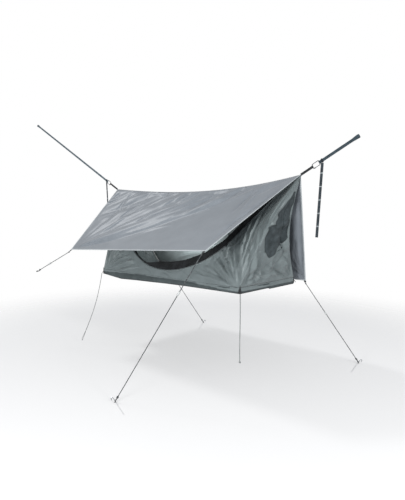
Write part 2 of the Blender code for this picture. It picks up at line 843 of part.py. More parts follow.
def rope_with_loop(start, end, radius):
    """A taut rope from the knot that it turns about to a loop, with the loop's knot before it."""
    along = (end - start).normalized()
    aside = along.cross(Vector((0.0, 0.0, 1.0))).normalized()
    length = (end - start).length
    straight = length - 2 * radius - 3 * guy_diameter
    swell = guy_knot_radius / (guy_diameter / 2)
    points, radii = [], []
    for share, size in pivot_knot_shares:
        points.append(start + along * (guy_knot_radius * share))
        radii.append(size * swell)
    for step in range(1, rope_steps + 1):
        points.append(start + along * (straight * step / rope_steps))
        radii.append(1.0)
    for share, size in loop_knot_shares:
        points.append(start + along * (straight + guy_diameter * share))
        radii.append(size)
    ring = radius + guy_diameter / 2
    widest = pi - radians(loop_opening_angle)
    for step in range(loop_steps + 1):
        angle = widest * (1 - 2 * step / loop_steps)
        points.append(end + along * (ring * cos(angle)) + aside * (ring * sin(angle)))
        radii.append(1.0)
    return points, radii


def make_peg(name, loop_middle, run, pivot):
    """A steel peg at the far side of the rope's loop. Its point leans in under the rope."""
    level = Vector((run.x, run.y, 0.0)).normalized()
    down = (Vector((0.0, 0.0, -1.0)) - level * peg_lean_share).normalized()
    forward = (level - down * level.dot(down)).normalized()
    along = run.normalized()
    touching = (guy_diameter / 2 + peg_diameter / 2 + gap) / along.cross(down).length
    place = loop_middle + along * (peg_loop_radius + guy_diameter / 2 - touching)
    top = place - down * peg_head_height
    buried = peg_length - peg_head_height
    points = [place + down * (buried * share) for share in (1.0, 0.5, 0.0)]
    for ahead, above in arc((0.0, 0.0), peg_hook_radius, 180, 0, peg_hook_steps):
        points.append(top + forward * (peg_hook_radius + ahead) - down * above)
    points.append(points[-1] + down * peg_hook_radius)
    tube(name, points, peg_diameter, steel, pivot)


def make_runner(name, start, end):
    """A barrel line runner: a short turned ring that the rope passes through."""
    inner = guy_diameter / 2 + 2 * bore_clearance
    outer = runner_diameter / 2
    half = runner_length / 2
    chamfer = (outer - inner) / 3
    profile = [(outer - chamfer, half), (outer, half - chamfer), (outer, chamfer - half),
               (outer - chamfer, -half), (inner, -half), (inner, half)]
    work = bmesh.new()
    corners = [work.verts.new((x, 0.0, z)) for x, z in profile]
    for place, point in enumerate(corners):
        work.edges.new((point, corners[(place + 1) % len(corners)]))
    mesh = bpy.data.meshes.new(name)
    work.to_mesh(mesh)
    work.free()
    along = (end - start).normalized()
    middle = start + along * runner_place
    across = along.cross(Vector((0.0, 0.0, 1.0))).normalized()
    matrix = Matrix.Translation(middle) @ Matrix((across, along.cross(across), along)).transposed().to_4x4()
    made = add_object(name, mesh, runner_plastic, matrix=matrix)
    turn = made.modifiers.new("turn", "SCREW")
    turn.steps = ring_steps
    turn.render_steps = ring_steps
    turn.use_merge_vertices = True
    turn.merge_threshold = gap / 10


# Hinge lines of the fly: the front one is level with the lowest part of its seam and the rear one
# with the highest part, so that no edge swings into the strip over the ridge
seam_front = cover_front / front_hem_reach
front_middle = mix(ridge_point(0.5), front_hem_point(0.5), seam_front)
front_axis = Vector((0.0, front_middle.y, front_middle.z))
rear_end = mix(ridge_point(1.0), rear_hem_point(1.0), cover_rear / rear_hem_reach)
rear_axis = Vector((0.0, rear_end.y, rear_end.z))


def make_guys():
    """Each guy rope runs from a tab at a corner of the fly to its place in the photograph."""
    carriers = {"front": joint_empty("front_fly_hinge", front_axis),
                "rear": joint_empty("rear_fly_hinge", rear_axis)}
    corners = {"front_left": (front_fly_at(0.0, 1.0), front_fly_at(0.0, 0.9)),
               "front_right": (front_fly_at(1.0, 1.0), front_fly_at(1.0, 0.9)),
               "rear_left": (rear_fly_at(0.0, 1.0), rear_fly_at(0.0, 0.9)),
               "rear_right": (rear_fly_at(1.0, 1.0), rear_fly_at(1.0, 0.9))}
    for name, (corner, inner) in corners.items():
        row = name.split("_")[0]
        hem = (corners[row + "_right"][0] - corners[row + "_left"][0]).normalized()
        slope = corner - inner
        outward = (slope - hem * slope.dot(hem)).normalized()
        normal = hem.cross(outward)
        inset = hem * (tab_width / 2)
        root = corner + outward * gap + (inset if name.endswith("left") else -inset)
        tab, tip, _ = corner_tab("fly_tab_" + name, root, outward, normal)
        ride(tab, carriers[row])
        pivot = tip + outward * (guy_knot_radius + gap)
        end = guy_ends[name]
        pegged = name != "front_left"
        if pegged:
            end = end + Vector((0.0, 0.0, peg_loop_height))
        points, radii = rope_with_loop(pivot, end, peg_loop_radius if pegged else end_eye_radius)
        rope = tube("guy_rope_" + name, points, guy_diameter, guy_cord, pivot, radii)
        make_runner("line_runner_" + name, pivot, end)
        if pegged:
            make_peg("peg_" + name, end, end - pivot, pivot)
        else:
            ride(rope, carriers[row])


def make_floor_tabs():
    """Gives back the lowest point of each tab, where its cord hangs."""
    lowest = {}
    for name, side_x, side_y in (("front_left", -1, -1), ("front_right", 1, -1),
                                 ("rear_left", -1, 1), ("rear_right", 1, 1)):
        outward = Vector((side_x * tab_splay_share, side_y * tab_splay_share, -1.0))
        corner = Vector((side_x * floor_half_length, side_y * floor_half_width, floor_height + tub_height / 2))
        root = corner + Vector((side_x, side_y, 0.0)).normalized() * (gap + tab_thickness / 2)
        normal = Vector((side_x, side_y, 0.0))
        _, tip, thick = corner_tab("floor_tab_" + name, root, outward, normal)
        lowest[name] = tip - thick * (tab_thickness / 2)
    return lowest


def make_corner_cords(tips):
    """A plain cord that ends in a knot, and a doubled one that ends in an eye."""
    start = tips["front_right"] - Vector((0.0, 0.0, gap))
    steps = 12
    points = []
    radii = []
    for step in range(steps + 1):
        points.append(start - Vector((0.0, 0.0, corner_cord_length * step / steps)))
        radii.append(1.0)
    for share, size in end_knot_shares:
        points.append(points[steps] - Vector((0.0, 0.0, corner_cord_diameter * share)))
        radii.append(size)
    tube("corner_cord_front_right", points, corner_cord_diameter, light_cord, radii=radii)

    top = tips["front_left"] - Vector((0.0, 0.0, gap + loop_cord_diameter / 8))
    run = loop_cord_end - top
    level = Vector((run.x, run.y, 0.0)).normalized()
    aside = Vector((-level.y, level.x, 0.0))
    out, back = [], []
    rows = 16
    near = loop_cord_spacing / 2
    for step in range(rows + 1):
        share = step / rows
        bow = level * (-loop_cord_bow * sin(pi * share))
        middle = mix(top, loop_cord_end, share * loop_cord_eye_share) + bow
        spread = max(0.0, (share - loop_cord_spread_share) / (1 - loop_cord_spread_share))
        apart = mix(near, loop_cord_eye, spread)
        out.append(middle + aside * apart)
        back.append(middle - aside * apart)
    centre = mix(top, loop_cord_end, loop_cord_eye_share)
    way = run.normalized() * loop_cord_tip_share
    tip = []
    for sideways, onward in arc((0.0, 0.0), loop_cord_eye, 0, 180, arc_steps)[1:-1]:
        tip.append(centre + aside * sideways + way * onward)
    tube("corner_cord_front_left", out + tip + back[::-1], loop_cord_diameter, light_cord)


make_fly()
make_tub()
make_walls()
make_net_roll()
make_zip()
for hand, label in ((-1, "left"), (1, "right")):
    make_hardware(hand, label)
make_guys()
make_corner_cords(make_floor_tabs())
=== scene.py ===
from math import atan2, cos, pi, radians, sin

import bmesh
import bpy
import numpy as np
from mathutils import Matrix, Vector


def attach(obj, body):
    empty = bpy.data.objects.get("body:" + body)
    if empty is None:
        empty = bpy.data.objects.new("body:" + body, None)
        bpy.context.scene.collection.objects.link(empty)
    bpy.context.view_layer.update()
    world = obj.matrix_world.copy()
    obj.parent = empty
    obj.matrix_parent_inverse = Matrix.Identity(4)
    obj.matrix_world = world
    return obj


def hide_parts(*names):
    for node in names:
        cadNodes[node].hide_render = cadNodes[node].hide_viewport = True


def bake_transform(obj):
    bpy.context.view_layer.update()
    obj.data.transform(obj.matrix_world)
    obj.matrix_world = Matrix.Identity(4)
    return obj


# Hammock tent slung between two tree straps: the fly, walls, floor, net and cords, dressed over the CAD
# frame. Everything is worked out in the tent's own frame, with the ground at z = 0 and the ridge along X,
# and goes to its place with the last step of each mesh.

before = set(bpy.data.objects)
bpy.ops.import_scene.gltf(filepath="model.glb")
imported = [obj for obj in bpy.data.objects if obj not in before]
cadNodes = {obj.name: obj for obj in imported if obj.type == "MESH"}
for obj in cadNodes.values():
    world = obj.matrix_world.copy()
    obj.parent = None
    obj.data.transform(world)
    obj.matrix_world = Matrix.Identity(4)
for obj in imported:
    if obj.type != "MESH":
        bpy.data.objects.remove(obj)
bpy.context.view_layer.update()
scene = bpy.context.scene
scene.view_settings.view_transform = "Standard"   # product shots on white are shown straight

tent = {
    "ridgeHalf": 1.49, "ridgeHeight": 2.05, "ridgeSag": 0.10, "sagSkew": 0.25,
    "frontHemHalf": 1.126, "frontHemReach": 0.979, "frontHemLeft": 1.242, "frontHemRight": 1.341,
    "rearHemHalf": 1.20, "rearHemReach": 0.667, "rearHemHeight": 0.909,
    "coverFront": 0.06, "coverRear": 0.035,
    "floorHalfLength": 1.14, "floorHalfWidth": 0.50, "floorHeight": 0.90, "tubHeight": 0.06,
    "floorThickness": 0.003, "cloth": 0.0015, "gap": 0.0004, "cornerInset": 0.0016,
    "ridgeLine": 0.008, "ridgeLineDrop": 0.0105,
    "strapAngle": 27.8, "strapReach": 0.628,
}
strapRise = radians(tent["strapAngle"])
treePoint = np.array([tent["ridgeHalf"] + tent["strapReach"] * cos(strapRise), 0.0,
                      tent["ridgeHeight"] + tent["strapReach"] * sin(strapRise)])


# vectors as rows of numbers

def toWorld(place):
    return Vector(place) - Vector(treePoint)


def unit(rows):
    return rows / np.linalg.norm(rows, axis=-1, keepdims=True)


def rowsOf(x, y, z):
    return np.stack(np.broadcast_arrays(x, y, z), axis=-1).astype(float)


def blendRows(first, second, share):
    share = np.asarray(share, float)[..., None]
    return first * (1 - share) + second * share


def reachAlong(points):
    # how far along its route each point lies
    return np.concatenate([[0.0], np.cumsum(np.linalg.norm(np.diff(points, axis=0), axis=1))])


# nodes and pieces

def toLinear(code):
    found = []
    for place in (0, 2, 4):
        value = int(code[place:place + 2], 16) / 255
        found.append(value / 12.92 if value <= 0.04045 else ((value + 0.055) / 1.055) ** 2.4)
    return (*found, 1.0)


def addNode(tree, kind, inputs=None, **settings):
    node = tree.nodes.new(kind)
    for name, value in settings.items():
        setattr(node, name, value)
    for socket, value in (inputs or {}).items():
        if isinstance(value, bpy.types.NodeSocket):
            tree.links.new(value, node.inputs[socket])
        else:
            node.inputs[socket].default_value = value
    return node


def startMaterial(name, roughness, metallic=0.0, **sockets):
    made = bpy.data.materials.new(name)
    made.use_nodes = True
    tree = made.node_tree
    shader = tree.nodes["Principled BSDF"]
    for socket, value in {"Roughness": roughness, "Metallic": metallic, **sockets}.items():
        shader.inputs[socket.replace("_", " ")].default_value = value
    return made, tree, shader, addNode(tree, "ShaderNodeTexCoord").outputs


def ramp(tree, value, low, high, first=0.0, last=1.0, **settings):
    limits = {"From Min": low, "From Max": high, "To Min": first, "To Max": last}
    return addNode(tree, "ShaderNodeMapRange", {"Value": value, **limits}, **settings).outputs["Result"]


def meshOf(work, name):
    mesh = bpy.data.meshes.new(name)
    work.to_mesh(mesh)
    work.free()
    return mesh


def addPiece(name, mesh, surface, body=None, node=None, thickness=None):
    made = bpy.data.objects.new(name, mesh)
    scene.collection.objects.link(made)
    for one in (surface if isinstance(surface, list) else [surface]):
        mesh.materials.append(one)
    if body:
        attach(made, body)
    if thickness:
        wall = made.modifiers.new("thickness", "SOLIDIFY")
        wall.thickness = thickness
        wall.offset = 0.0
    if node:
        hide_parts(node)
    return made


# camera and light

studio = {
    "camera": (3.56887, -3.66540, 1.62200), "azimuth": 42.6778, "tilt": 4.2631, "lens": 30.07,
    "floorFade": (2.4, 5.4), "floorRadius": 9.0, "floorCover": 0.6, "ambient": 0.42,
    # each light: its place, what it is aimed at, its size and power
    "lights": {"key": ((-6.4, -2.2, 9.4), (0.0, 0.0, 1.2), 1.5, 286.0),
               "fill": ((2.4, -7.0, 1.4), (0.0, 0.0, 1.2), 1.4, 385.0),
               "side": ((7.4, -1.4, 3.2), (0.0, 0.0, 1.2), 1.0, 250.0),
               "cabin": ((-0.25, -0.10, 1.42), (-0.25, 1.0, 1.36), 0.5, 10.0)},
}


def setCamera():
    turn, tilt = radians(studio["azimuth"]), radians(studio["tilt"])
    back = Vector((sin(turn) * cos(tilt), -cos(turn) * cos(tilt), sin(tilt)))
    right = Vector((cos(turn), sin(turn), 0.0))
    lens = bpy.data.cameras.new("photoCamera")
    lens.lens = studio["lens"]
    camera = bpy.data.objects.new("photoCamera", lens)
    camera.matrix_world = Matrix.Translation(toWorld(studio["camera"])) @ \
        Matrix((right, back.cross(right), back)).transposed().to_4x4()
    scene.collection.objects.link(camera)
    scene.camera = camera


def setLights():
    for name, (place, target, size, power) in studio["lights"].items():
        light = bpy.data.lights.new(name + "Light", "AREA")
        light.size, light.energy = size, power
        lamp = bpy.data.objects.new(name + "Light", light)
        lamp.location = toWorld(place)
        lamp.rotation_euler = (toWorld(target) - toWorld(place)).to_track_quat("-Z", "Y").to_euler()
        lamp.visible_camera = False
        scene.collection.objects.link(lamp)
    # white all round, and a softer white for what falls on the cloth
    world = bpy.data.worlds.new("studioWhite")
    scene.world = world
    world.use_nodes = True
    tree = world.node_tree
    seen = addNode(tree, "ShaderNodeBackground", {"Color": (1, 1, 1, 1), "Strength": 1.0})
    cast = addNode(tree, "ShaderNodeBackground", {"Color": toLinear("F6F9FF"), "Strength": studio["ambient"]})
    rays = addNode(tree, "ShaderNodeLightPath").outputs["Is Camera Ray"]
    both = addNode(tree, "ShaderNodeMixShader", {0: rays, 1: cast.outputs[0], 2: seen.outputs[0]})
    tree.links.new(both.outputs[0], tree.nodes["World Output"].inputs["Surface"])


def setFloor():
    # pale floor that fades into the white before its far edge
    work = bmesh.new()
    bmesh.ops.create_circle(work, cap_ends=True, segments=64, radius=studio["floorRadius"])
    bmesh.ops.translate(work, vec=toWorld((0, 0, 0)), verts=work.verts[:])
    pale, tree, shader, where = startMaterial("matt_white_floor", 0.9, Base_Color=toLinear("F7F7F7"),
                                              Specular_IOR_Level=0.0)
    level = addNode(tree, "ShaderNodeVectorMath", {0: where["Object"], 1: tuple(treePoint)}, operation="ADD")
    far = addNode(tree, "ShaderNodeVectorMath", {0: level.outputs[0]}, operation="LENGTH").outputs["Value"]
    fade = ramp(tree, far, *studio["floorFade"], studio["floorCover"], 0.0, interpolation_type="SMOOTHSTEP")
    tree.links.new(fade, shader.inputs["Alpha"])
    addPiece("studioFloor", meshOf(work, "studioFloor"), pale)


setCamera()
setLights()
setFloor()
print("studio set")


# what the materials are made of

def mixColours(tree, factor, first, second):
    return addNode(tree, "ShaderNodeMix", {0: factor, 6: first, 7: second}, data_type="RGBA",
                   clamp_factor=True).outputs[2]


def twoTones(tree, value, low, high, colour, lighter):
    return mixColours(tree, ramp(tree, value, low, high), toLinear(colour), toLinear(lighter))


def noise(tree, where, scale, detail, **more):
    return addNode(tree, "ShaderNodeTexNoise", {"Vector": where, "Scale": scale, "Detail": detail,
                                                **more}).outputs["Fac"]


def bands(tree, where, pitch, way="X", **more):
    # bands that repeat every pitch metres
    return addNode(tree, "ShaderNodeTexWave", {"Vector": where, "Scale": pi / 10 / pitch, **more},
                   bands_direction=way).outputs["Fac"]


def cells(tree, where, size, randomness, **settings):
    return addNode(tree, "ShaderNodeTexVoronoi", {"Vector": where, "Scale": 1 / size,
                                                  "Randomness": randomness}, **settings).outputs["Distance"]


def calc(tree, operation, first, second):
    return addNode(tree, "ShaderNodeMath", {0: first, 1: second}, operation=operation).outputs[0]


def paint(tree, shader, colour):
    tree.links.new(colour, shader.inputs["Base Color"])


def bumpOf(tree, shader, height, distance, strength, below=None):
    node = addNode(tree, "ShaderNodeBump", {"Height": height, "Distance": distance, "Strength": strength})
    if below is not None:
        tree.links.new(below, node.inputs["Normal"])
    tree.links.new(node.outputs["Normal"], shader.inputs["Normal"])
    return node.outputs["Normal"]


# coated polyester taffeta: a tight plain weave with a proofed face, so it is smooth, a little silky along
# its folds and crinkled all over. The threads, 0.2 mm apart, are drawn 1.6 mm apart so that they show
taffetaLook = {"thread": 0.0016, "threadDepth": 0.00006, "threadTone": 0.12, "crinkle": 0.022,
               "crinkleDepth": 0.0016, "mottle": 0.16, "mottleRange": (0.34, 0.68), "sheen": 0.16}


def taffeta(name, colour, lighter, roughness):
    look = taffetaLook
    made, tree, shader, where = startMaterial(name, roughness, Sheen_Weight=look["sheen"],
                                              Sheen_Roughness=0.45, Specular_IOR_Level=0.35)
    mottle = noise(tree, where["Object"], 1 / look["mottle"], 4.0, Roughness=0.62)
    base = twoTones(tree, mottle, *look["mottleRange"], colour, lighter)
    warp, weft = (bands(tree, where["UV"], look["thread"], way) for way in "XY")
    weave = calc(tree, "MULTIPLY", warp, weft)
    threads = calc(tree, "MULTIPLY", weave, look["threadTone"])
    paint(tree, shader, mixColours(tree, threads, base, toLinear(lighter)))
    crinkle = noise(tree, where["Object"], 1 / look["crinkle"], 3.0, Roughness=0.55, Distortion=0.9)
    below = bumpOf(tree, shader, crinkle, look["crinkleDepth"], 0.55)
    bumpOf(tree, shader, weave, look["threadDepth"], 0.5, below)
    return made


# heavy oxford: a basket weave of thick threads, proofed and dull, so it is darker and grainier
oxfordLook = {"thread": 0.003, "threadDepth": 0.0002, "grain": 9.0}


def oxford(name, colour, lighter):
    made, tree, shader, where = startMaterial(name, 0.7, Specular_IOR_Level=0.3)
    grain = noise(tree, where["Object"], oxfordLook["grain"], 5.0, Roughness=0.6)
    paint(tree, shader, twoTones(tree, grain, 0.3, 0.7, colour, lighter))
    basket = cells(tree, where["Object"], oxfordLook["thread"], 0.25, distance="CHEBYCHEV")
    bumpOf(tree, shader, basket, oxfordLook["threadDepth"], 0.6)
    return made


# knitted mosquito net: fine dark yarn with open holes. The holes, 1.2 mm apart, are drawn 2.4 mm apart
netLook = {"mesh": 0.0024, "cloud": 14.0}


def mosquitoNet(name, colour, lighter, openShare):
    made, tree, shader, where = startMaterial(name, 0.85, Sheen_Weight=0.05, Specular_IOR_Level=0.2)
    holes = cells(tree, where["UV"], netLook["mesh"], 0.15, voronoi_dimensions="2D")
    tree.links.new(calc(tree, "GREATER_THAN", holes, openShare), shader.inputs["Alpha"])
    cloud = noise(tree, where["Object"], netLook["cloud"], 3.0)
    paint(tree, shader, twoTones(tree, cloud, 0.35, 0.65, colour, lighter))
    return made


# woven polypropylene webbing: ribs across its width and a dull twill face, with sewn bar tacks
webbingLook = {"rib": 0.0028, "ribDepth": 0.0004, "ribTone": 0.35, "wear": 24.0, "stitch": 0.004,
               "tack": "9AA0A2"}


def webbing(name, colour, lighter, place=(0.0, 0.0, 0.0), turn=(0.0, 0.0, 0.0), marks=0.0):
    # place and turn lay the pattern's X along the webbing; marks is the pitch of the sewn cross lines
    look = webbingLook
    made, tree, shader, where = startMaterial(name, 0.78, Sheen_Weight=0.1, Specular_IOR_Level=0.3)
    laid = addNode(tree, "ShaderNodeMapping", {"Vector": where["Object"], "Location": place,
                                               "Rotation": turn}, vector_type="TEXTURE").outputs[0]
    ribs = bands(tree, laid, look["rib"], Distortion=0.4, Detail=1.0)
    face = calc(tree, "MULTIPLY", ribs, bands(tree, laid, look["rib"] * 2, "DIAGONAL"))
    wear = noise(tree, where["Object"], look["wear"], 4.0)
    ribbed = mixColours(tree, calc(tree, "MULTIPLY", face, look["ribTone"]),
                        twoTones(tree, wear, 0.3, 0.75, colour, lighter), toLinear(lighter))
    if marks:
        along = addNode(tree, "ShaderNodeSeparateXYZ", {0: laid}).outputs["X"]
        line = calc(tree, "LESS_THAN", calc(tree, "PINGPONG", along, marks), look["stitch"])
        ribbed = mixColours(tree, line, ribbed, toLinear(look["tack"]))
    paint(tree, shader, ribbed)
    bumpOf(tree, shader, face, look["ribDepth"], 0.7)
    return made


# braided polyester cord: strands that cross at a slant, each a small rounded hump with a soft gloss
braidLook = {"strand": 0.0042, "slant": radians(38), "depth": 0.0006, "flecks": 120.0}


def braidedCord(name, colour, lighter, fleck):
    look = braidLook
    made, tree, shader, where = startMaterial(name, 0.72, Sheen_Weight=0.15, Specular_IOR_Level=0.35)
    strands = []
    for slant in (look["slant"], -look["slant"]):
        laid = addNode(tree, "ShaderNodeMapping", {"Vector": where["UV"], "Rotation": (0.0, 0.0, slant)})
        strands.append(bands(tree, laid.outputs[0], look["strand"]))
    over = calc(tree, "MULTIPLY", *strands)
    along = noise(tree, where["UV"], look["flecks"], 2.0)
    base = mixColours(tree, over, toLinear(colour), toLinear(lighter))
    paint(tree, shader, mixColours(tree, ramp(tree, along, 0.56, 0.66), base, toLinear(fleck)))
    bumpOf(tree, shader, over, look["depth"], 0.8)
    return made


# anodised aluminium: satin, slightly streaked along its length by drawing before it was anodised
metalLook = {"scratch": 0.0012, "stretch": (0.15, 1.0, 1.0), "depth": 0.00005, "polished": 0.08,
             "worn": 0.14}


def drawnMetal(name, colour, lighter, roughness):
    look = metalLook
    made, tree, shader, where = startMaterial(name, roughness, 1.0)
    streak = addNode(tree, "ShaderNodeMapping", {"Vector": where["Object"], "Scale": look["stretch"]})
    lines = noise(tree, streak.outputs[0], 1 / look["scratch"], 4.0)
    paint(tree, shader, mixColours(tree, lines, toLinear(colour), toLinear(lighter)))
    tree.links.new(ramp(tree, lines, 0.0, 1.0, roughness - look["polished"], roughness + look["worn"]),
                   shader.inputs["Roughness"])
    bumpOf(tree, shader, lines, look["depth"], 0.4)
    return made


# moulded plastic: even and satin, with the faint orange peel of the tool's surface
plasticLook = {"peel": 900.0, "depth": 0.00006}


def mouldedPlastic(name, colour, lighter, roughness):
    made, tree, shader, where = startMaterial(name, roughness)
    peel = noise(tree, where["Object"], plasticLook["peel"], 2.0)
    paint(tree, shader, twoTones(tree, peel, 0.3, 0.7, colour, lighter))
    bumpOf(tree, shader, peel, plasticLook["depth"], 0.5)
    return made


flyCloth = taffeta("fly_taffeta_proofed", "777D83", "7F858B", 0.40)
# the rear side of the fly is the same taffeta as the front; its darker tone is painted shade
shadedRearCloth = taffeta("rear_fly_taffeta_proofed_shaded", "6D7379", "767C82", 0.5)
wallCloth = taffeta("wall_taffeta_breathable", "677071", "717A7B", 0.48)
hemCloth = taffeta("hem_tape_taffeta", "A3A9AC", "B4B9BB", 0.55)
tubCloth = oxford("tub_oxford_proofed", "3C4344", "4B5354")
# the piping's near-black tone is painted shade where the tub's floor turns under
shadedPipingCloth = oxford("piping_oxford_shaded", "1C1E1F", "2A2D2E")
windowNet = mosquitoNet("mosquito_net_window", "343B3D", "485053", 0.18)
shadedHeapNet = mosquitoNet("mosquito_net_gathered_shaded", "141617", "242628", 0.08)
# the gathered net is the same net as the windows'; its near-black tone is partly its many layers and partly
# painted shade under the awning's edge
tabWebbing = webbing("webbing_black", "1A1C1E", "2C2F31")
guyBraid = braidedCord("braided_guy_cord", "2A2D2F", "3E4244", "74797B")
lightBraid = braidedCord("braided_light_cord", "7E8281", "9A9E9C", "B4B7B5")
loopBraid = braidedCord("braided_loop_cord", "565A59", "727675", "8E9290")
ridgeBraid = braidedCord("braided_ridge_cord", "3F4345", "6B6F70", "8C9091")
satinAlloy = drawnMetal("anodised_aluminium_dark", "2F3235", "42464A", 0.42)
zincSteel = drawnMetal("zinc_plated_steel", "7F8386", "9CA0A3", 0.36)
zipPlastic = mouldedPlastic("zip_polyamide", "141516", "222426", 0.42)
runnerPlastic = mouldedPlastic("runner_polyamide", "9DA1A0", "B4B7B6", 0.46)
print("materials made")


# shaping

def clothGrid(name, columns, rows, at, size, hole=None):
    # a grid laid out by at(u, v), its UV in metres of flat cloth
    work = bmesh.new()
    work.loops.layers.uv.verify()
    bmesh.ops.create_grid(work, x_segments=columns, y_segments=rows, size=0.5, calc_uvs=True)
    if hole:
        lowU, highU, lowV, highV = hole
        middles = [(face, face.calc_center_median()) for face in work.faces]
        inside = [face for face, middle in middles
                  if lowU < middle.x + 0.5 < highU and lowV < middle.y + 0.5 < highV]
        bmesh.ops.delete(work, geom=inside, context="FACES")
    mesh = meshOf(work, name)
    places = np.empty(len(mesh.vertices) * 3, np.float32)
    mesh.vertices.foreach_get("co", places)
    places = places.reshape(-1, 3) + 0.5
    laid = at(places[:, 0].astype(float), places[:, 1].astype(float)) - treePoint
    mesh.vertices.foreach_set("co", laid.astype(np.float32).ravel())
    layer = mesh.uv_layers.active.data
    flat = np.empty(len(layer) * 2, np.float32)
    layer.foreach_get("uv", flat)
    layer.foreach_set("uv", (flat.reshape(-1, 2) * np.array(size, np.float32)).ravel())
    mesh.update()
    mesh.shade_smooth()
    return mesh


def sweepMesh(name, rings, looped=False):
    # a closed tube through rings of points, one ring for each place along it
    stations, sides = rings.shape[0] - 1, rings.shape[1]
    work = bmesh.new()
    bmesh.ops.create_cone(work, cap_ends=not looped, segments=sides, radius1=1.0, radius2=1.0, depth=2.0)
    upright = [edge for edge in work.edges if abs(edge.verts[0].co.z - edge.verts[1].co.z) > 1]
    bmesh.ops.subdivide_edges(work, edges=upright, cuts=stations - 1, use_grid_fill=True)
    along, around = reachAlong(rings.mean(axis=1)), reachAlong(np.vstack([rings[0], rings[0][:1]]))
    spots = {}
    for point in work.verts:
        side = round(atan2(point.co.y, point.co.x) / (2 * pi) * sides) % sides
        spots[point] = (round((point.co.z + 1) / 2 * stations), side)
    layer = work.loops.layers.uv.verify()
    for face in work.faces:
        found = [spots[corner.vert][1] for corner in face.loops]
        wraps = max(found) == sides - 1 and min(found) == 0 and len(found) == 4
        for corner in face.loops:
            station, side = spots[corner.vert]
            corner[layer].uv = (along[station], around[sides if wraps and side == 0 else side])
    for point, (station, side) in spots.items():
        point.co = rings[station, side] - treePoint
    if looped:
        bmesh.ops.remove_doubles(work, verts=work.verts[:], dist=0.00001)
    bmesh.ops.recalc_face_normals(work, faces=work.faces[:])
    mesh = meshOf(work, name)
    mesh.shade_smooth()
    return mesh


def roundRings(points, radii, sides):
    # circles square to the path, carried along it without twist
    points = np.array(points, float)
    radii = np.broadcast_to(np.array(radii, float), (len(points),))
    ways = unit(np.gradient(points, axis=0))
    across = np.cross(ways[0], [0.0, 0.0, 1.0])
    if np.linalg.norm(across) < 0.1:
        across = np.cross(ways[0], [0.0, 1.0, 0.0])
    turns = np.arange(sides)[:, None] / sides * 2 * pi
    rings = []
    for point, way, radius in zip(points, ways, radii):
        across = unit(across - way * (across @ way))
        rings.append(point + radius * (np.cos(turns) * across + np.sin(turns) * np.cross(way, across)))
    return np.array(rings)


def addTube(name, points, radii, sides, surface, body, node=None):
    return addPiece(name, sweepMesh(name, roundRings(points, radii, sides)), surface, body, node)


def smoothPath(points, count):
    # the same route through evenly spaced places, its corners eased
    points = np.array(points, float)
    reach = reachAlong(points)
    even = np.linspace(0.0, reach[-1], count)
    laid = np.stack([np.interp(even, reach, column) for column in points.T], axis=1)
    for _ in range(2):
        laid[1:-1] = laid[1:-1] * 0.5 + (laid[:-2] + laid[2:]) * 0.25
    return laid


def joinMeshes(name, meshes):
    # several meshes as one, each keeping its own place in the list of materials
    work = bmesh.new()
    for number, mesh in enumerate(meshes):
        start = len(work.faces)
        work.from_mesh(mesh)
        work.faces.ensure_lookup_table()
        for face in work.faces[start:]:
            face.material_index = number
            face.smooth = True
        bpy.data.meshes.remove(mesh)
    return meshOf(work, name)


# creases read off the photograph as lines on the flat cloth. A crease is the points of its line, its height,
# its width and its lean. A row of a table gives height, width, lean and the points, all but the lean in mm

def creasesOf(table, deep=1.0, sharp=1.0):
    made = []
    for height, width, lean, *line in table:
        points = [(a / 1000, b / 1000) for a, b in zip(line[::2], line[1::2])]
        made.append((points, height / 1000 * deep, width / 1000 * sharp, lean))
    return made


def crease(a, b, points, height, width, lean):
    line = smoothPath(points, 14)
    nearest, place, side = np.full(a.shape, 9.0), np.zeros(a.shape), np.zeros(a.shape)
    for number, (start, end) in enumerate(zip(line, line[1:])):
        run = end - start
        share = np.clip(((a - start[0]) * run[0] + (b - start[1]) * run[1]) / (run @ run), 0, 1)
        offA = a - start[0] - share * run[0]
        offB = b - start[1] - share * run[1]
        away = np.hypot(offA, offB)
        closer = away < nearest
        nearest = np.where(closer, away, nearest)
        place = np.where(closer, (number + share) / (len(line) - 1), place)
        side = np.where(closer, np.sign(offA * run[1] - offB * run[0]), side)
    fading = np.sin(pi * np.clip(place, 0.02, 0.98)) ** 0.6
    return height * fading * np.exp(-(nearest / width) ** 2) * (1 + lean * side * nearest / width)


def layCreases(a, b, creases):
    total = np.zeros(a.shape)
    for one in creases:
        total += crease(a, b, *one)
    return total


def edgeFade(u, v, deepU, deepV):
    # 0 on the four edges of a cloth, and 1 past these shares of it
    return np.clip(np.minimum(u, 1 - u) / deepU, 0, 1) * np.clip(np.minimum(v, 1 - v) / deepV, 0, 1)


def easeStep(value):
    value = np.clip(value, 0, 1)
    return value * value * (3 - 2 * value)


def ripple(a, b, seed, count, shortest, longest, height):
    # many faint waves in all directions, as loose cloth has
    draw = np.random.default_rng(seed)
    total = np.zeros(a.shape)
    for _ in range(count):
        angle = draw.uniform(0, pi)
        wave = draw.uniform(shortest, longest)
        total += np.sin((a * cos(angle) + b * sin(angle)) * 2 * pi / wave + draw.uniform(0, 2 * pi)) \
            * height * wave / longest
    return total


def fanFolds(seed, corner, count, across, upward, height):
    # fine folds that start at one corner of a wall and fan out over it
    draw = np.random.default_rng(seed)
    made = []
    for number in range(count):
        share = (number + draw.uniform(0.2, 0.8)) / count
        end = (across[0] + (across[1] - across[0]) * share, upward[0] + (upward[1] - upward[0]) * share)
        middle = ((corner[0] + end[0]) / 2, (corner[1] + end[1]) / 2 + draw.uniform(-0.02, 0.03))
        made.append(((corner, middle, end), height * draw.uniform(0.6, 1.3) * (-1) ** number,
                     draw.uniform(0.009, 0.016), draw.uniform(-0.5, 0.7)))
    return made


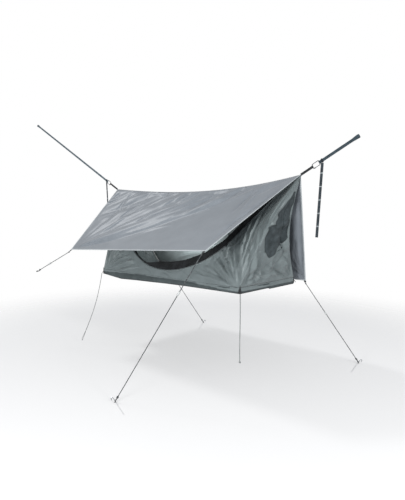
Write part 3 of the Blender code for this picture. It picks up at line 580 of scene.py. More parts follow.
def hangingFolds(seed, count, across, upward, height):
    # short folds that hang more or less straight down
    draw = np.random.default_rng(seed)
    made = []
    for number in range(count):
        x, low, long = draw.uniform(*across), draw.uniform(*upward), draw.uniform(0.16, 0.42)
        points = ((x, low), (x + draw.uniform(-0.03, 0.03), low + long / 2),
                  (x + draw.uniform(-0.02, 0.08), low + long))
        made.append((points, height * draw.uniform(0.5, 1.2) * (-1) ** number,
                     draw.uniform(0.008, 0.016), draw.uniform(-0.6, 0.6)))
    return made


def seamGathers(seed, count, reach, deep, slant, height, width, longer=lambda top: 1.0):
    # small folds that start at the ridge seam and run down the cloth at a slant
    draw = np.random.default_rng(seed)
    made = []
    for _ in range(count):
        top = draw.uniform(-reach, reach)
        end = draw.uniform(*deep) * longer(top)
        drift = draw.uniform(*slant) * end
        made.append((((top, -0.02), (top + drift * 0.5, end * 0.5), (top + drift, end)),
                     draw.uniform(*height), draw.uniform(*width), 0.4))
    return made


def ridgeAt(u):
    share = 2 * np.asarray(u, float) - 1
    sag = tent["ridgeSag"] * (1 - share ** 2) * (1 + tent["sagSkew"] * share)
    return rowsOf(share * tent["ridgeHalf"], 0.0, tent["ridgeHeight"] - sag)


def hemAt(side, u):
    u = np.asarray(u, float)
    if side == "front":
        return rowsOf((2 * u - 1) * tent["frontHemHalf"], -tent["frontHemReach"],
                      tent["frontHemLeft"] * (1 - u) + tent["frontHemRight"] * u)
    return rowsOf((2 * u - 1) * tent["rearHemHalf"], tent["rearHemReach"], tent["rearHemHeight"])


# the fly: each side is one cloth from the ridge to its hem, on the flat 2.98 m along the ridge

flyThickness = 0.001
flyEdge = (0.02, 0.05)   # the shares of the cloth along its edges that lie flat

awning = {
    "name": "flyFront", "cloth": flyCloth, "slot": "fly_taffeta", "nodes": ("front_fly", "ridge_cover"),
    "columns": 320, "rows": 144, "flat": (2.98, 1.22), "bend": -0.15, "depth": 1.9, "sharp": 0.85,
    "slack": 0.026, "hollow": 0.018,
    # long folds that fan from the front left corner: their end at the ridge, height and width
    "fanRoot": (-1.06, 1.17), "fanTop": 0.05, "fanWaist": (0.42, 0.66), "fanLean": 0.5,
    "fan": ((-1.02, -0.008, 0.039), (-0.78, 0.008, 0.0338), (-0.52, -0.0088, 0.039),
            (-0.24, 0.0096, 0.0364), (0.02, -0.008, 0.0338), (0.24, 0.0088, 0.0364),
            (0.50, -0.0096, 0.039), (0.98, 0.0112, 0.052)),
    # gathers: seed, count, reach, length, slant, height and width, and how much longer left and right
    "gathers": (11, 52, 1.42, (0.10, 0.30), (-1.35, -0.75), (-0.027, 0.020), (0.026, 0.050)),
    "longer": (2.1, 1.7), "longerTo": 0.55,
    # the smooth band's height and width, and where the cloth goes from loose to tight
    "band": (0.9, 0.09), "looseTo": (0.2, 0.62), "looseFade": 0.5, "tight": 0.08, "tightGathers": 0.7,
    # ripples: seed, count, shortest, longest and height
    "ripple": (5, 7, 0.18, 0.6, 0.0022),
}
awningCreases = creasesOf((
    (-25, 50, .9,  -1082, 1220,  -415, 1012,  -4, 761,  179, 595,  395, 475,  663, 378,  776, 168),
    (25, 60, -.5,  -1044, 1191,  -494, 850,  -252, 624,  -44, 464,  85, 284,  230, 123,  337, 18),
    (-6, 22, .5,  -316, 589,  -25, 354,  147, 155,  308, 15),
    (-6, 22, .5,  -695, 599,  -622, 341,  -478, 182,  -307, 21),
    (-6, 24, .5,  -826, 640,  -766, 366,  -731, 53),
    (-5, 24, .4,  -1031, 684,  -1055, 363,  -1065, 73),
    (-6, 20, .5,  215, 509,  331, 392,  401, 179,  421, 30),
    (7, 26, .4,  -80, 553,  163, 380,  332, 190,  558, 13),
    (-5, 22, .4,  1000, 552,  1004, 359,  1022, 71),
    (5, 24, .4,  1115, 605,  1102, 351,  1099, 61),
    (-7, 30, .6,  1108, 1075,  1152, 757,  1256, 547,  1363, 225),
    (6, 30, .5,  -870, 974,  -753, 706,  -647, 416),
    (-6, 20, .4,  -429, 696,  -326, 481,  -209, 276,  -93, 65),
    (7, 20, 0,  501, 284,  525, 214,  521, 121),
    (-5, 20, .3,  -1423, 276,  -1329, 74),
    (6, 30, .3,  -970, 1160,  -226, 895,  270, 701),
    (-5, 20, .4,  -1059, 1208,  -792, 1097,  -339, 994),
), awning["depth"], awning["sharp"])

rearSide = {
    "name": "flyRear", "cloth": shadedRearCloth, "slot": "rear_fly_taffeta", "nodes": ("rear_fly",),
    "columns": 180, "rows": 84, "flat": (2.98, 1.30), "bend": 0.10, "depth": 1.2, "sharp": 0.8,
    "hollow": 0.008,
    # a fan of folds: seed, corner, count, its reach across and down, and height
    "fan": (97, (1.17, 1.27), 8, (0.92, 1.36), (0.98, 0.72), 0.009),
    "gathers": (23, 26, 1.4, (0.06, 0.22), (-0.5, 0.5), (-0.003, 0.003), (0.010, 0.018)),
    "ripple": (9, 6, 0.2, 0.7, 0.0025),
}
rearSideCreases = creasesOf((
    (6, 30, .4,  1046, 1060,  1129, 1200,  1228, 1270),
    (-9, 30, .6,  1310, 310,  1205, 710,  1080, 1070),
    (8, 26, .5,  1428, 160,  1307, 700,  1226, 1240),
    (-7, 24, .5,  1410, 120,  1246, 710,  1138, 1250),
    (-8, 30, .5,  -1400, 150,  -1220, 620,  -1160, 1220),
    (9, 40, .4,  -1170, 1250,  -620, 840,  -200, 300),
    (9, 40, -.4,  1170, 1250,  700, 920,  360, 400,  300, 60),
    (-6, 30, .3,  -1100, 1240,  -450, 1020,  100, 960),
    (-6, 30, -.3,  1100, 1240,  500, 1070,  50, 1000),
    (-5, 20, .3,  -820, 50,  -760, 380,  -800, 700),
    (5, 22, .3,  -310, 40,  -260, 320,  -340, 560),
    (-5, 20, .3,  120, 40,  80, 300,  150, 520),
    (5, 22, .3,  660, 40,  740, 350,  700, 620),
), rearSide["depth"], rearSide["sharp"])


def awningRelief(x, s):
    look, root, folds = awning, awning["fanRoot"], list(awningCreases)
    share, down = look["fanWaist"]
    for top, height, width in look["fan"]:
        middle = (top * share + root[0] * (1 - share), down + 0.04 * sin(top * 9))
        folds.append(((root, middle, (top, look["fanTop"])), height, width, look["fanLean"]))
    # gathers that run slantwise from the ridge seam, longer towards the left
    left, right = look["longer"]
    gathers = seamGathers(*look["gathers"], lambda top: left if top < look["longerTo"] else right)
    # a broad band from the front left corner to the ridge stays smooth
    band = np.clip(crease(x, s, awningCreases[1][0], *look["band"], 0.0), 0, 1)
    # the cloth is drawn tight towards its front right corner
    looseX, looseS = look["looseTo"]
    loose = np.clip((looseS - s + 0.5 * (looseX - x)) / look["looseFade"], look["tight"], 1)
    shown = look["tightGathers"] + (1 - look["tightGathers"]) * loose
    relief = layCreases(x, s, folds) + layCreases(x, s, gathers) * (1 - band) * shown \
        + loose * ripple(x, s, *look["ripple"])
    # where folds meet they don't pile up higher than the slack of the cloth allows
    return awning["slack"] * np.tanh(relief / awning["slack"])


def rearRelief(x, s):
    folds = rearSideCreases + fanFolds(*rearSide["fan"]) + seamGathers(*rearSide["gathers"])
    return layCreases(x, s, folds) + ripple(x, s, *rearSide["ripple"])


def flyAt(side, u, v):
    u, v = np.asarray(u, float), np.asarray(v, float)
    look = awning if side == "front" else rearSide
    x = (2 * u - 1) * (tent["ridgeHalf"] * (1 - v) + tent[side + "HemHalf"] * v)
    relief = (awningRelief if side == "front" else rearRelief)(x, look["flat"][1] * v)
    # the middle is pulled in a shallow hollow between its corners
    relief -= look["hollow"] * np.sin(pi * u) * np.sin(pi * v)
    top, hem = ridgeAt(u), hemAt(side, u)
    out = unit(np.cross(hem - top, [1.0, 0.0, 0.0]))
    out = out * np.sign(out[..., 2:])
    return blendRows(top, hem, v) + out * (relief * edgeFade(u, v, *flyEdge))[..., None]


hemLook = {"width": 0.014, "half": 0.0012, "lip": 0.0007, "step": 0.01}


def edgeTape(name, at, edge, stations):
    # a folded tape that closes over one edge of a cloth. edge gives u, v and the way inwards for a share
    u, v, du, dv = edge(np.linspace(0, 1, stations + 1))
    here = at(u, v)
    inward = unit(at(u + du, v + dv) - here)
    way = unit(np.gradient(here, axis=0))
    inward = unit(inward - way * np.sum(inward * way, axis=1, keepdims=True))
    up = unit(np.cross(way, inward))
    width, half, lip = hemLook["width"], hemLook["half"], hemLook["lip"]
    upper = ((width, half * 0.7), (width * 0.94, half), (lip, half), (-lip, half * 0.3))
    section = upper + tuple((a, -b) for a, b in reversed(upper))
    return sweepMesh(name, np.stack([here + inward * a + up * b for a, b in section], axis=1))


def makeFly():
    step = hemLook["step"]
    for side, look in (("front", awning), ("rear", rearSide)):
        name, (wide, long) = look["name"], look["flat"]

        def at(u, v, side=side):
            return flyAt(side, u, v)
        mesh = clothGrid(name, look["columns"], look["rows"], at, look["flat"])
        piece = addPiece(name, mesh, look["cloth"], thickness=flyThickness)
        hems = [edgeTape("left", at, lambda s: (s * 0, s, s * 0 + step, s * 0), 90),
                edgeTape("hem", at, lambda s: (s, s * 0 + 1, s * 0, s * 0 - step), 180),
                edgeTape("right", at, lambda s: (s * 0 + 1, s, s * 0 - step, s * 0), 90)]
        tapes = addPiece(name + "Hem", joinMeshes(name + "Hem", hems), [hemCloth] * 3)
        for one in (piece, tapes):
            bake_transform(one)
        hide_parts(*look["nodes"])


makeFly()
print("fly laid")


# tape sewn over the ridge, where the two sides of the fly meet

ridgeTape = {"half": 0.013, "thickness": 0.0008, "stations": 160, "frontFall": 0.86, "rearFall": 1.25}


def makeRidgeTape():
    middle = ridgeAt(np.linspace(0, 1, ridgeTape["stations"] + 1))
    half, thick = ridgeTape["half"], ridgeTape["thickness"]
    front, rear = -half * ridgeTape["frontFall"], -half * ridgeTape["rearFall"]
    section = ((-half, front + thick), (0.0, thick * 2.2), (half, rear + thick),
               (half * 0.97, rear - thick), (0.0, thick * 0.7), (-half * 0.97, front - thick))
    rings = np.stack([middle + np.array([0.0, y, z]) for y, z in section], axis=1)
    addPiece("ridgeTape", sweepMesh("ridgeTape", rings), flyCloth, "tent")


makeRidgeTape()


# walls, from the tub's rim up to the ridge line

wallFoot = tent["floorHeight"] + tent["tubHeight"] + tent["gap"] + tent["cloth"] / 4
wallTopClear = tent["ridgeLine"] / 2 + tent["gap"] + tent["cloth"] / 2
footReach = tent["floorHalfWidth"] - tent["floorThickness"] / 2
footEnd = tent["floorHalfLength"] - tent["floorThickness"] / 2
frontFoot = np.array([0.0, -footReach, wallFoot])
frontUp = np.array([0.0, 0.0, tent["ridgeHeight"] - tent["ridgeLineDrop"]]) - frontFoot
wallSlope = float(np.linalg.norm(frontUp))
frontUp = frontUp / wallSlope
frontOut = np.array([0.0, -frontUp[2], frontUp[1]])
rearOut = np.array([0.0, frontUp[2], frontUp[1]])
door = {"radius": 1.145, "halfAngle": 52.0, "sill": 0.089, "horn": 0.0625, "rows": 8,
        "strip": 0.0224, "zipEnd": 0.012}
doorHalf = radians(door["halfAngle"])
doorCentre = frontFoot + frontUp * (door["sill"] + door["radius"])


def ridgeUnderside(x):
    ridge = ridgeAt(0.5 + 0.5 * np.asarray(x) / tent["ridgeHalf"])[..., 2]
    return ridge - tent["ridgeLineDrop"] - wallTopClear


def findDoorRun():
    # the straight part of the door's edge, from the end of its arc up to under the ridge
    arcEnd = door["sill"] + door["radius"] * (1 - cos(doorHalf))
    run = (wallSlope - arcEnd) / sin(doorHalf)
    for _ in range(8):
        reach = door["radius"] * sin(doorHalf) + run * cos(doorHalf)
        top = min(ridgeUnderside(-reach), ridgeUnderside(reach))
        run = ((top - wallFoot) / frontUp[2] - arcEnd) / sin(doorHalf)
    return float(run)


doorRun = findDoorRun()
doorLength = 2 * (doorRun + doorHalf * door["radius"])


def doorEdge(share):
    # points of the door's edge from the left end to the right end, and the way down from each
    along = np.asarray(share, float) * doorLength
    angle = np.clip((along - doorLength / 2) / door["radius"], -doorHalf, doorHalf)
    past = np.where(along < doorRun, along - doorRun,
                    np.where(along > doorLength - doorRun, along - (doorLength - doorRun), 0.0))
    sideways = np.array([1.0, 0.0, 0.0])
    turnedX, turnedY = np.cos(angle)[..., None], np.sin(angle)[..., None]
    tangent = turnedX * sideways + turnedY * frontUp
    below = turnedY * sideways - turnedX * frontUp
    return doorCentre + below * door["radius"] + tangent * past[..., None], below


def frontHead(u):
    # the wall's upper edge: the door's, and at either end of it a horn that reaches up to the ridge
    horn = door["horn"]
    edge, below = doorEdge(np.clip((u - horn) / (1 - 2 * horn), 0, 1))
    share = np.clip((horn - np.minimum(u, 1 - u)) / horn, 0, 1)
    outerX = np.where(u < 0.5, -1, 1) * (tent["ridgeHalf"] - tent["cornerInset"])
    x = edge[..., 0] * (1 - share) + outerX * share
    height = (ridgeUnderside(x) - wallFoot) / frontUp[2]
    top = frontFoot + frontUp * height[..., None] + rowsOf(x, 0.0, 0.0)
    horned = ((u < horn) | (u > 1 - horn))[..., None]
    return np.where(horned, top, edge), np.where(horned, -frontUp, below)


wallLook = {"columns": 380, "rows": 96, "thickness": 0.0009, "sharp": 0.6, "frontDepth": 2.0,
            "rearDepth": 1.4, "long": 1.19,
            # under the door the wall is low: how far across, over what it fades, and how deep its folds are
            "lowTo": 0.62, "lowFade": 0.25, "lowDepth": 0.15, "endCalm": 0.03, "rearCalm": (0.03, 0.06),
            # fans of folds: seed, corner, count, their reach across and up, and height
            "fanRight": (61, (1.11, -0.02), 18, (0.52, 1.20), (0.06, 0.92), 0.0130),
            "fanLeft": (67, (-1.11, -0.02), 11, (-1.16, -0.42), (0.40, 0.07), 0.0270),
            # hanging folds: seed, count, their place across and up, and height
            "hanging": (71, 46, (0.60, 1.36), (0.06, 0.80), 0.0070),
            # ripples: seed, count, shortest, longest and height
            "frontRipple": (31, 7, 0.16, 0.5, 0.0018), "rearRipple": (37, 7, 0.18, 0.6, 0.002),
            # each long wall: its node, its UV's size in metres, and the area of its cloth
            "longWalls": {"frontWall": ("front_wall", (2.28, 1.20), 1.2),
                          "rearWall": ("rear_wall", (2.98, 1.19),
                                       (tent["ridgeHalf"] + tent["floorHalfLength"]) * 1.15)}}
frontFolds = creasesOf((
    (-12, 30, .7,  1125, 11,  1039, 315,  978, 585),
    (12, 28, .5,  1155, 14,  1117, 285,  1058, 532,  1063, 679),
    (-10, 22, .5,  1145, 13,  1198, 188,  1173, 394,  1098, 569),
    (8, 26, .3,  1169, 0,  1265, 160,  1269, 399,  1190, 662),
    (8, 20, .4,  1126, 28,  1017, 243,  934, 491),
    (-8, 24, .5,  1174, 716,  1278, 897,  1442, 1128),
    (6, 20, .3,  1288, 663,  1355, 895,  1474, 1144),
    (-8, 18, .5,  1128, -40,  878, 88,  670, 160),
    (7, 18, .4,  1126, -23,  929, 129,  740, 221),
    (-8, 20, .5,  1122, 2,  979, 169,  809, 282),
    (6, 18, .3,  1121, 18,  1008, 206,  864, 377),
    (-6, 16, .4,  1115, -50,  860, 15,  629, 82),
    (-6, 20, .4,  780, -11,  599, 98,  491, 126),
    (6, 20, .4,  549, -19,  424, 43,  302, 89),
    (-6, 20, .4,  219, -26,  76, 49,  -50, 90),
    (-6, 20, -.4,  -84, -38,  -222, 63,  -330, 100),
    (-10, 24, -.6,  -1080, -48,  -927, 139,  -702, 246),
    (8, 22, -.4,  -1038, -56,  -787, 81,  -553, 155),
    (-7, 20, -.4,  -960, -60,  -620, 28,  -320, 75),
    (-8, 22, .4,  -1105, -38,  -1069, 129,  -1026, 251),
    (9, 30, .4,  -1150, 280,  -1220, 620,  -1380, 1000),
    (-8, 26, .4,  -1080, 320,  -1100, 620,  -1220, 920),
), 1.0, wallLook["sharp"])
frontFolds += fanFolds(*wallLook["fanRight"]) + fanFolds(*wallLook["fanLeft"]) \
    + hangingFolds(*wallLook["hanging"])
rearFolds = creasesOf((
    (10, 34, .4,  -1080, 30,  -780, 380,  -600, 920),
    (-10, 34, .4,  1080, 30,  800, 360,  660, 950),
    (-8, 28, .4,  -950, 20,  -520, 210,  -120, 280),
    (8, 28, .4,  950, 20,  550, 220,  100, 270),
    (-8, 24, .4,  -340, 1050,  -300, 660,  -400, 300),
    (8, 28, .4,  50, 1040,  20, 600,  100, 220),
    (-8, 24, .4,  420, 1060,  360, 660,  460, 280),
    (-9, 28, .5,  -1300, 980,  -1160, 550,  -1120, 120),
    (9, 28, .5,  1300, 980,  1170, 560,  1130, 120),
))
# the cloth of the ends is slack, so that their seams bow towards the open side and are drawn inwards
bow = {"right": 0.085, "left": 0.025, "reach": 0.26, "edge": 0.07, "seamReach": 0.10, "topDrop": 0.03,
       "frontIn": {1: 0.0, -1: 0.055}, "rearIn": {1: 0.035, -1: 0.030}}


def bellyAt(z):
    # 0 at the foot and the top of a seam, and 1 between them
    return np.sin(pi * np.clip((z - wallFoot) / (tent["ridgeHeight"] - bow["topDrop"] - wallFoot), 0, 1))


def bowAt(z, side):
    return bow["right" if side > 0 else "left"] * bellyAt(z)


def drawSeams(laid, flat, u, inwards, share=None):
    # the seams at its ends carry a long wall along, less towards its upper edge where share reaches 1
    z = flat[..., 2]
    fading = 0.0 if share is None else np.clip(share, 0, 1) ** 3
    for side, away in ((1, 1 - u), (-1, u)):
        hold = easeStep(1 - away / bow["reach"]) * (1 - (1 - easeStep(1 - away / bow["edge"])) * fading)
        seam = easeStep(1 - away / bow["seamReach"])
        laid[..., 1] -= bowAt(z, side) * hold
        laid[..., 0] -= side * inwards[side] * bellyAt(z) * (1 - fading) * seam
    return laid


def frontWallAt(u, v):
    u, v = np.asarray(u, float), np.asarray(v, float)
    foot = frontFoot + rowsOf((2 * u - 1) * (footEnd - tent["cornerInset"]), 0.0, 0.0)
    head, below = frontHead(u)
    neck = head + below * door["strip"]
    body = 1 - 1 / door["rows"]
    share = np.clip(v / body, 0, 1)
    flat = np.where((v > body)[..., None], blendRows(neck, head, np.clip((v - body) / (1 - body), 0, 1)),
                    blendRows(foot, neck, share))
    x, t = flat[..., 0], (flat - frontFoot) @ frontUp
    relief = layCreases(x, t, frontFolds) + ripple(x, t, *wallLook["frontRipple"])
    calm = np.clip(np.minimum(u, 1 - u) / wallLook["endCalm"], 0, 1) * np.sin(pi * share) ** 0.5
    # under the door the wall lies close to the net, so its folds only stand outwards there
    inner = np.clip((np.abs(x) - wallLook["lowTo"]) / wallLook["lowFade"], 0, 1)
    least = wallLook["lowDepth"]
    relief = np.where(relief < 0, relief * (least + (1 - least) * inner), relief)
    laid = flat + frontOut * (relief * calm * wallLook["frontDepth"])[..., None]
    return drawSeams(laid, flat, u, bow["frontIn"], share)


def rearWallAt(u, v):
    u, v = np.asarray(u, float), np.asarray(v, float)
    foot = rowsOf((2 * u - 1) * (footEnd - tent["cornerInset"]), footReach, wallFoot)
    head = ridgeAt(u)
    head[..., 2] -= tent["ridgeLineDrop"]
    head[..., 0] = (2 * u - 1) * (tent["ridgeHalf"] - tent["cornerInset"])
    head = head - unit(head - foot) * wallTopClear
    flat = blendRows(foot, head, v)
    x, t = flat[..., 0], v * wallLook["long"]
    relief = layCreases(x, t, rearFolds) + ripple(x, t, *wallLook["rearRipple"])
    relief *= edgeFade(u, v, *wallLook["rearCalm"]) * wallLook["rearDepth"]
    laid = flat + rearOut * relief[..., None]
    return drawSeams(laid, flat, u, bow["rearIn"])


def makeLongWalls():
    for (name, (node, size, area)), at in zip(wallLook["longWalls"].items(), (frontWallAt, rearWallAt)):
        mesh = clothGrid(name, wallLook["columns"], wallLook["rows"], at, size)
        piece = addPiece(name, mesh, wallCloth, "tent", node, wallLook["thickness"])


makeLongWalls()


# end walls with their windows

ends = {"columns": 12, "rows": 10, "finer": 7, "window": (2, 10, 3, 9), "topHalf": 0.02,
        "top": 0.90, "sillU": (0.0, 0.22, 0.55, 1.0), "sillV": (0.33, 0.262, 0.34, 0.45),
        "sideV": (0.0, 0.26, 0.34, 0.56, 0.58, 0.68, 0.80, 0.93, 1.0),
        "leftU": (0.24, 0.27, 0.27, 0.03, 0.29, 0.235, 0.21, 0.60, 0.65),
        "rightU": (0.86, 0.90, 0.93, 0.955, 0.955, 0.93, 0.91, 0.84, 0.80),
        "netCells": (48, 42), "netFlat": (0.5, 0.75), "netThickness": 0.0006, "netIn": -0.0016,
        "slope": 1.14, "depth": 3.0, "calm": (0.05, 0.05),
        # two fans of folds, one from each lower corner, and the ripples
        "fanFront": (83, (-0.47, -0.02), 9, (-0.42, 0.30), (0.55, 0.10), 0.0045),
        "fanRear": (89, (0.47, -0.02), 8, (0.40, -0.10), (0.34, 0.06), 0.0040),
        "ripple": (41, 9, 0.07, 0.34, 0.0024),
        # the tape round the window: its radius, how flat it is and where it stands on the cloth
        "tape": 0.0045, "tapeSides": 8, "tapeFlat": 0.84, "tapeLean": -0.32, "tapeOut": 0.0008,
        "tapeShares": (0.0, 0.40, 0.68, 0.74, 1.0), "tapeStations": 120}
endFolds = creasesOf((
    (-8, 20, .5,  -468, -9,  -294, 95,  -214, 231),
    (7, 18, .4,  -407, -26,  -204, 85,  -121, 223),
    (-8, 20, .5,  484, -54,  114, 127,  -121, 223),
    (6, 18, .4,  -196, -27,  -239, 161,  -236, 340,  -332, 601),
    (-8, 22, .5,  400, 99,  212, 348,  62, 594,  -5, 891),
    (6, 18, .4,  156, 45,  -26, 215,  13, 323),
    (-6, 16, .4,  -225, -61,  60, -22,  410, 17),
    (-5, 14, .3,  -127, -17,  -147, 152),
    # folds that hang between the front seam and the window
    (11, 24, .4,  -440, 20,  -425, 300,  -400, 620),
    (-11, 20, .4,  -385, 0,  -370, 280,  -350, 560),
    (9, 20, .4,  -335, 20,  -325, 300,  -315, 520),
    (-12, 26, .5,  -270, 0,  -290, 160,  -285, 280),
    # the facet over the window's upper corner, and the wrinkled cloth under its lower right one
    (10, 30, .8,  -400, 800,  -290, 700,  -160, 690,  -70, 780),
    (-8, 18, .5,  -420, 680,  -240, 645,  -100, 660),
    (6, 22, .6,  20, 260,  140, 340,  270, 400),
    (-8, 18, .5,  100, 200,  200, 290,  330, 370),
    (7, 16, .5,  200, 120,  280, 220,  360, 320),
    (6, 14, -.5,  -50, 180,  60, 230,  140, 260),
), 1.0, wallLook["sharp"])
endFolds += fanFolds(*ends["fanFront"]) + fanFolds(*ends["fanRear"])


def windowShares():
    low, high, bottom, top = ends["window"]
    return low / ends["columns"], high / ends["columns"], bottom / ends["rows"], top / ends["rows"]


def stretched(value, low, high, first, last, between):
    # carries low to first and high to last, and what lies between them to between
    return np.where(value < low, value / low * first,
                    np.where(value > high, last + (value - high) / (1 - high) * (1 - last), between))


def windowWarp(u, v):
    # moves the cloth's own columns and rows so that the square window takes the outline in the photograph
    lowU, highU, lowV, highV = windowShares()
    across = np.clip((u - lowU) / (highU - lowU), 0, 1)
    upward = np.clip((v - lowV) / (highV - lowV), 0, 1)
    seat = np.interp(across, ends["sillU"], ends["sillV"])
    laidV = stretched(v, lowV, highV, seat, ends["top"], seat + upward * (ends["top"] - seat))
    left = np.interp(laidV, ends["sideV"], ends["leftU"])
    right = np.interp(laidV, ends["sideV"], ends["rightU"])
    return stretched(u, lowU, highU, left, right, left + across * (right - left)), laidV


def endWallAt(side, u, v, outward=0.0):
    rise = tent["ridgeHeight"] - wallFoot
    drop = tent["ridgeLineDrop"] + wallTopClear + tent["gap"] + ends["topHalf"] * rise / footReach
    headX = side * (tent["ridgeHalf"] - drop * (tent["ridgeHalf"] - footEnd) / rise)
    out = unit(np.array([side * rise, 0.0, footEnd - tent["ridgeHalf"]]))
    u, v = windowWarp(np.asarray(u, float), np.asarray(v, float))
    foot = rowsOf(side * footEnd, (2 * u - 1) * (footReach - tent["cornerInset"]), wallFoot)
    head = rowsOf(headX, (2 * u - 1) * ends["topHalf"], tent["ridgeHeight"] - drop)
    flat = blendRows(foot, head, v)
    y, z, t = flat[..., 1], flat[..., 2], v * ends["slope"]
    relief = layCreases(y, t, endFolds) + ripple(y, t, *ends["ripple"])
    laid = flat + out * (outward + ends["depth"] * relief * edgeFade(u, v, *ends["calm"]))[..., None]
    # the whole end bows towards the open side, and its seams are drawn in
    drawn = bow["frontIn"][side] * (1 - easeStep(u)) + bow["rearIn"][side] * easeStep(u)
    laid[..., 1] -= bowAt(z, side)
    laid[..., 0] -= side * drawn * bellyAt(z)
    return laid


def makeEndWalls():
    lowU, highU, lowV, highV = windowShares()
    # the net reaches half a cell under the cloth all round
    halfU, halfV = 0.5 / ends["columns"], 0.5 / ends["rows"]
    wide, tall = highU - lowU + 2 * halfU, highV - lowV + 2 * halfV
    share = np.linspace(0, 1, ends["tapeStations"] + 1)
    tapeU = np.interp(share, ends["tapeShares"], (lowU, highU, highU, lowU, lowU))
    tapeV = np.interp(share, ends["tapeShares"], (lowV, lowV, highV, highV, lowV))
    for side, name in ((-1, "Left"), (1, "Right")):
        mesh = clothGrid("endWall" + name, ends["columns"] * ends["finer"], ends["rows"] * ends["finer"],
                         lambda u, v: endWallAt(side, u, v), (1.0, ends["slope"]),
                         hole=(lowU, highU, lowV, highV))
        addPiece("endWall" + name, mesh, wallCloth, "tent", "end_wall_" + name.lower(),
                 wallLook["thickness"])
        mesh = clothGrid("windowNet" + name, *ends["netCells"], lambda u, v: endWallAt(
            side, lowU - halfU + wide * u, lowV - halfV + tall * v, ends["netIn"]), ends["netFlat"])
        addPiece("windowNet" + name, mesh, windowNet, "tent", "window_net_" + name.lower(),
                 ends["netThickness"])
        middle = endWallAt(side, tapeU, tapeV, ends["tapeOut"])
        rings = roundRings(middle, ends["tape"], ends["tapeSides"])
        outwards = unit(np.array([side * 1.0, 0.0, ends["tapeLean"]]))
        rings -= outwards * ((rings - middle[:, None]) @ outwards)[..., None] * ends["tapeFlat"]
        rings[-1] = rings[0]
        addPiece("windowTape" + name, sweepMesh("windowTape" + name, rings, looped=True), tubCloth, "tent")


makeEndWalls()
print("walls hung")


# the tub: a soft tray whose sides bulge, with a piping along its lower edge, drawn near black as painted
# shade where the floor turns under

tub = {"steps": (130, 56, 14), "sag": 0.0162, "thickness": 0.002, "rimDrop": 0.0012,
       # how far the sides bulge, how that waves along them, and how fast it fades to the corners
       "bulge": 0.012, "bulgeLift": 0.12, "wave": 0.4, "waves": (13, 9), "fades": (9, 6),
       "lowX": (-1.14, -.754, -.428, -.153, .101, .417, .775, 1.14),
       "lowZ": (.902, .868, .881, .888, .896, .901, .903, .904), "lowRear": 0.893,
       "seamX": (-1.14, -.90, -.41, -.16, .05, .35, .60, .88, 1.14),
       "seamZ": (.930, .938, .952, .950, .952, .950, .940, .928, .922),
       "piping": 0.0048, "pipingOut": 1.0016, "pipingSides": 8, "pipingStations": 400}


def tubLow(x, y):
    return np.where(y < 0, np.interp(x, tub["lowX"], tub["lowZ"]), tub["lowRear"])


def makeTub():
    work = bmesh.new()
    work.loops.layers.uv.verify()
    bmesh.ops.create_cube(work, size=1.0, calc_uvs=True)
    bmesh.ops.delete(work, geom=[face for face in work.faces if face.normal.z > 0.5], context="FACES")
    for axis, steps in enumerate(tub["steps"]):
        along = [edge for edge in work.edges if abs((edge.verts[0].co - edge.verts[1].co)[axis]) > 0.9]
        bmesh.ops.subdivide_edges(work, edges=along, cuts=steps - 1, use_grid_fill=True)
    halfX = tent["floorHalfLength"] - tub["thickness"] / 2
    halfY = tent["floorHalfWidth"] - tub["thickness"] / 2
    rim = tent["floorHeight"] + tent["tubHeight"] - tub["rimDrop"]
    for point in work.verts:
        a, b, height = point.co.x * 2, point.co.y * 2, point.co.z + 0.5
        x, y = a * halfX, b * halfY
        low = float(tubLow(x, y))
        z = low + (rim - low) * height
        if height < 0.001:
            z -= tub["sag"] * cos(a * pi / 2) * cos(b * pi / 2)
        # the sides bulge, but not at the corners
        out = tub["bulge"] * sin(pi * min(height + tub["bulgeLift"], 1.0)) \
            * (1 + tub["wave"] * sin(x * tub["waves"][0] + y * tub["waves"][1]))
        if abs(b) > 0.999:
            y += out * min(1.0, (1 - abs(a)) * tub["fades"][0]) * (1 if b > 0 else -1)
        if abs(a) > 0.999:
            x += out * min(1.0, (1 - abs(b)) * tub["fades"][1]) * (1 if a > 0 else -1)
        point.co = toWorld((x, y, z))
    for face in work.faces:
        face.smooth = True
    mesh = meshOf(work, "tubFloor")
    # the upper third of the sides is the skirt of the walls, sewn on in a wavy line
    for face in mesh.polygons:
        edge = float(np.interp(face.center.x + treePoint[0], tub["seamX"], tub["seamZ"]))
        face.material_index = 1 if face.center.z + treePoint[2] > edge and abs(face.normal.z) < 0.6 else 0
    addPiece("tubFloor", mesh, [tubCloth, wallCloth], "tent", "tub_floor", tub["thickness"])

    route = smoothPath([(-halfX, -halfY), (halfX, -halfY), (halfX, halfY), (-halfX, halfY), (-halfX, -halfY)],
                       tub["pipingStations"] + 1)
    route = np.column_stack([route, tubLow(route[:, 0], route[:, 1])])
    route[-1] = route[0]
    route[:, :2] *= tub["pipingOut"]
    rings = roundRings(route, tub["piping"], tub["pipingSides"])
    rings[-1] = rings[0]
    addPiece("tubPipingShade", sweepMesh("tubPipingShade", rings, looped=True), shadedPipingCloth, "tent")


makeTub()


# webbing patches folded round the corners of the tub, where its cords pull

patch = {"half": 0.030, "top": 0.985, "bottom": 0.900, "out": 0.0022, "lean": 0.0016, "thickness": 0.0014,
         "steps": 6, "flat": (0.06, 0.085)}


def patchAt(sideX, sideY, u, v):
    # u runs from one wall round the corner to the other, and v up to the point
    away = (2 * u - 1) * patch["half"] * (1 - v)
    x = tent["floorHalfLength"] + patch["out"] - np.maximum(away, 0) - patch["lean"] * v
    y = tent["floorHalfWidth"] + patch["out"] - np.maximum(-away, 0) - patch["lean"] * v
    return rowsOf(sideX * x, sideY * y, patch["bottom"] + (patch["top"] - patch["bottom"]) * v)


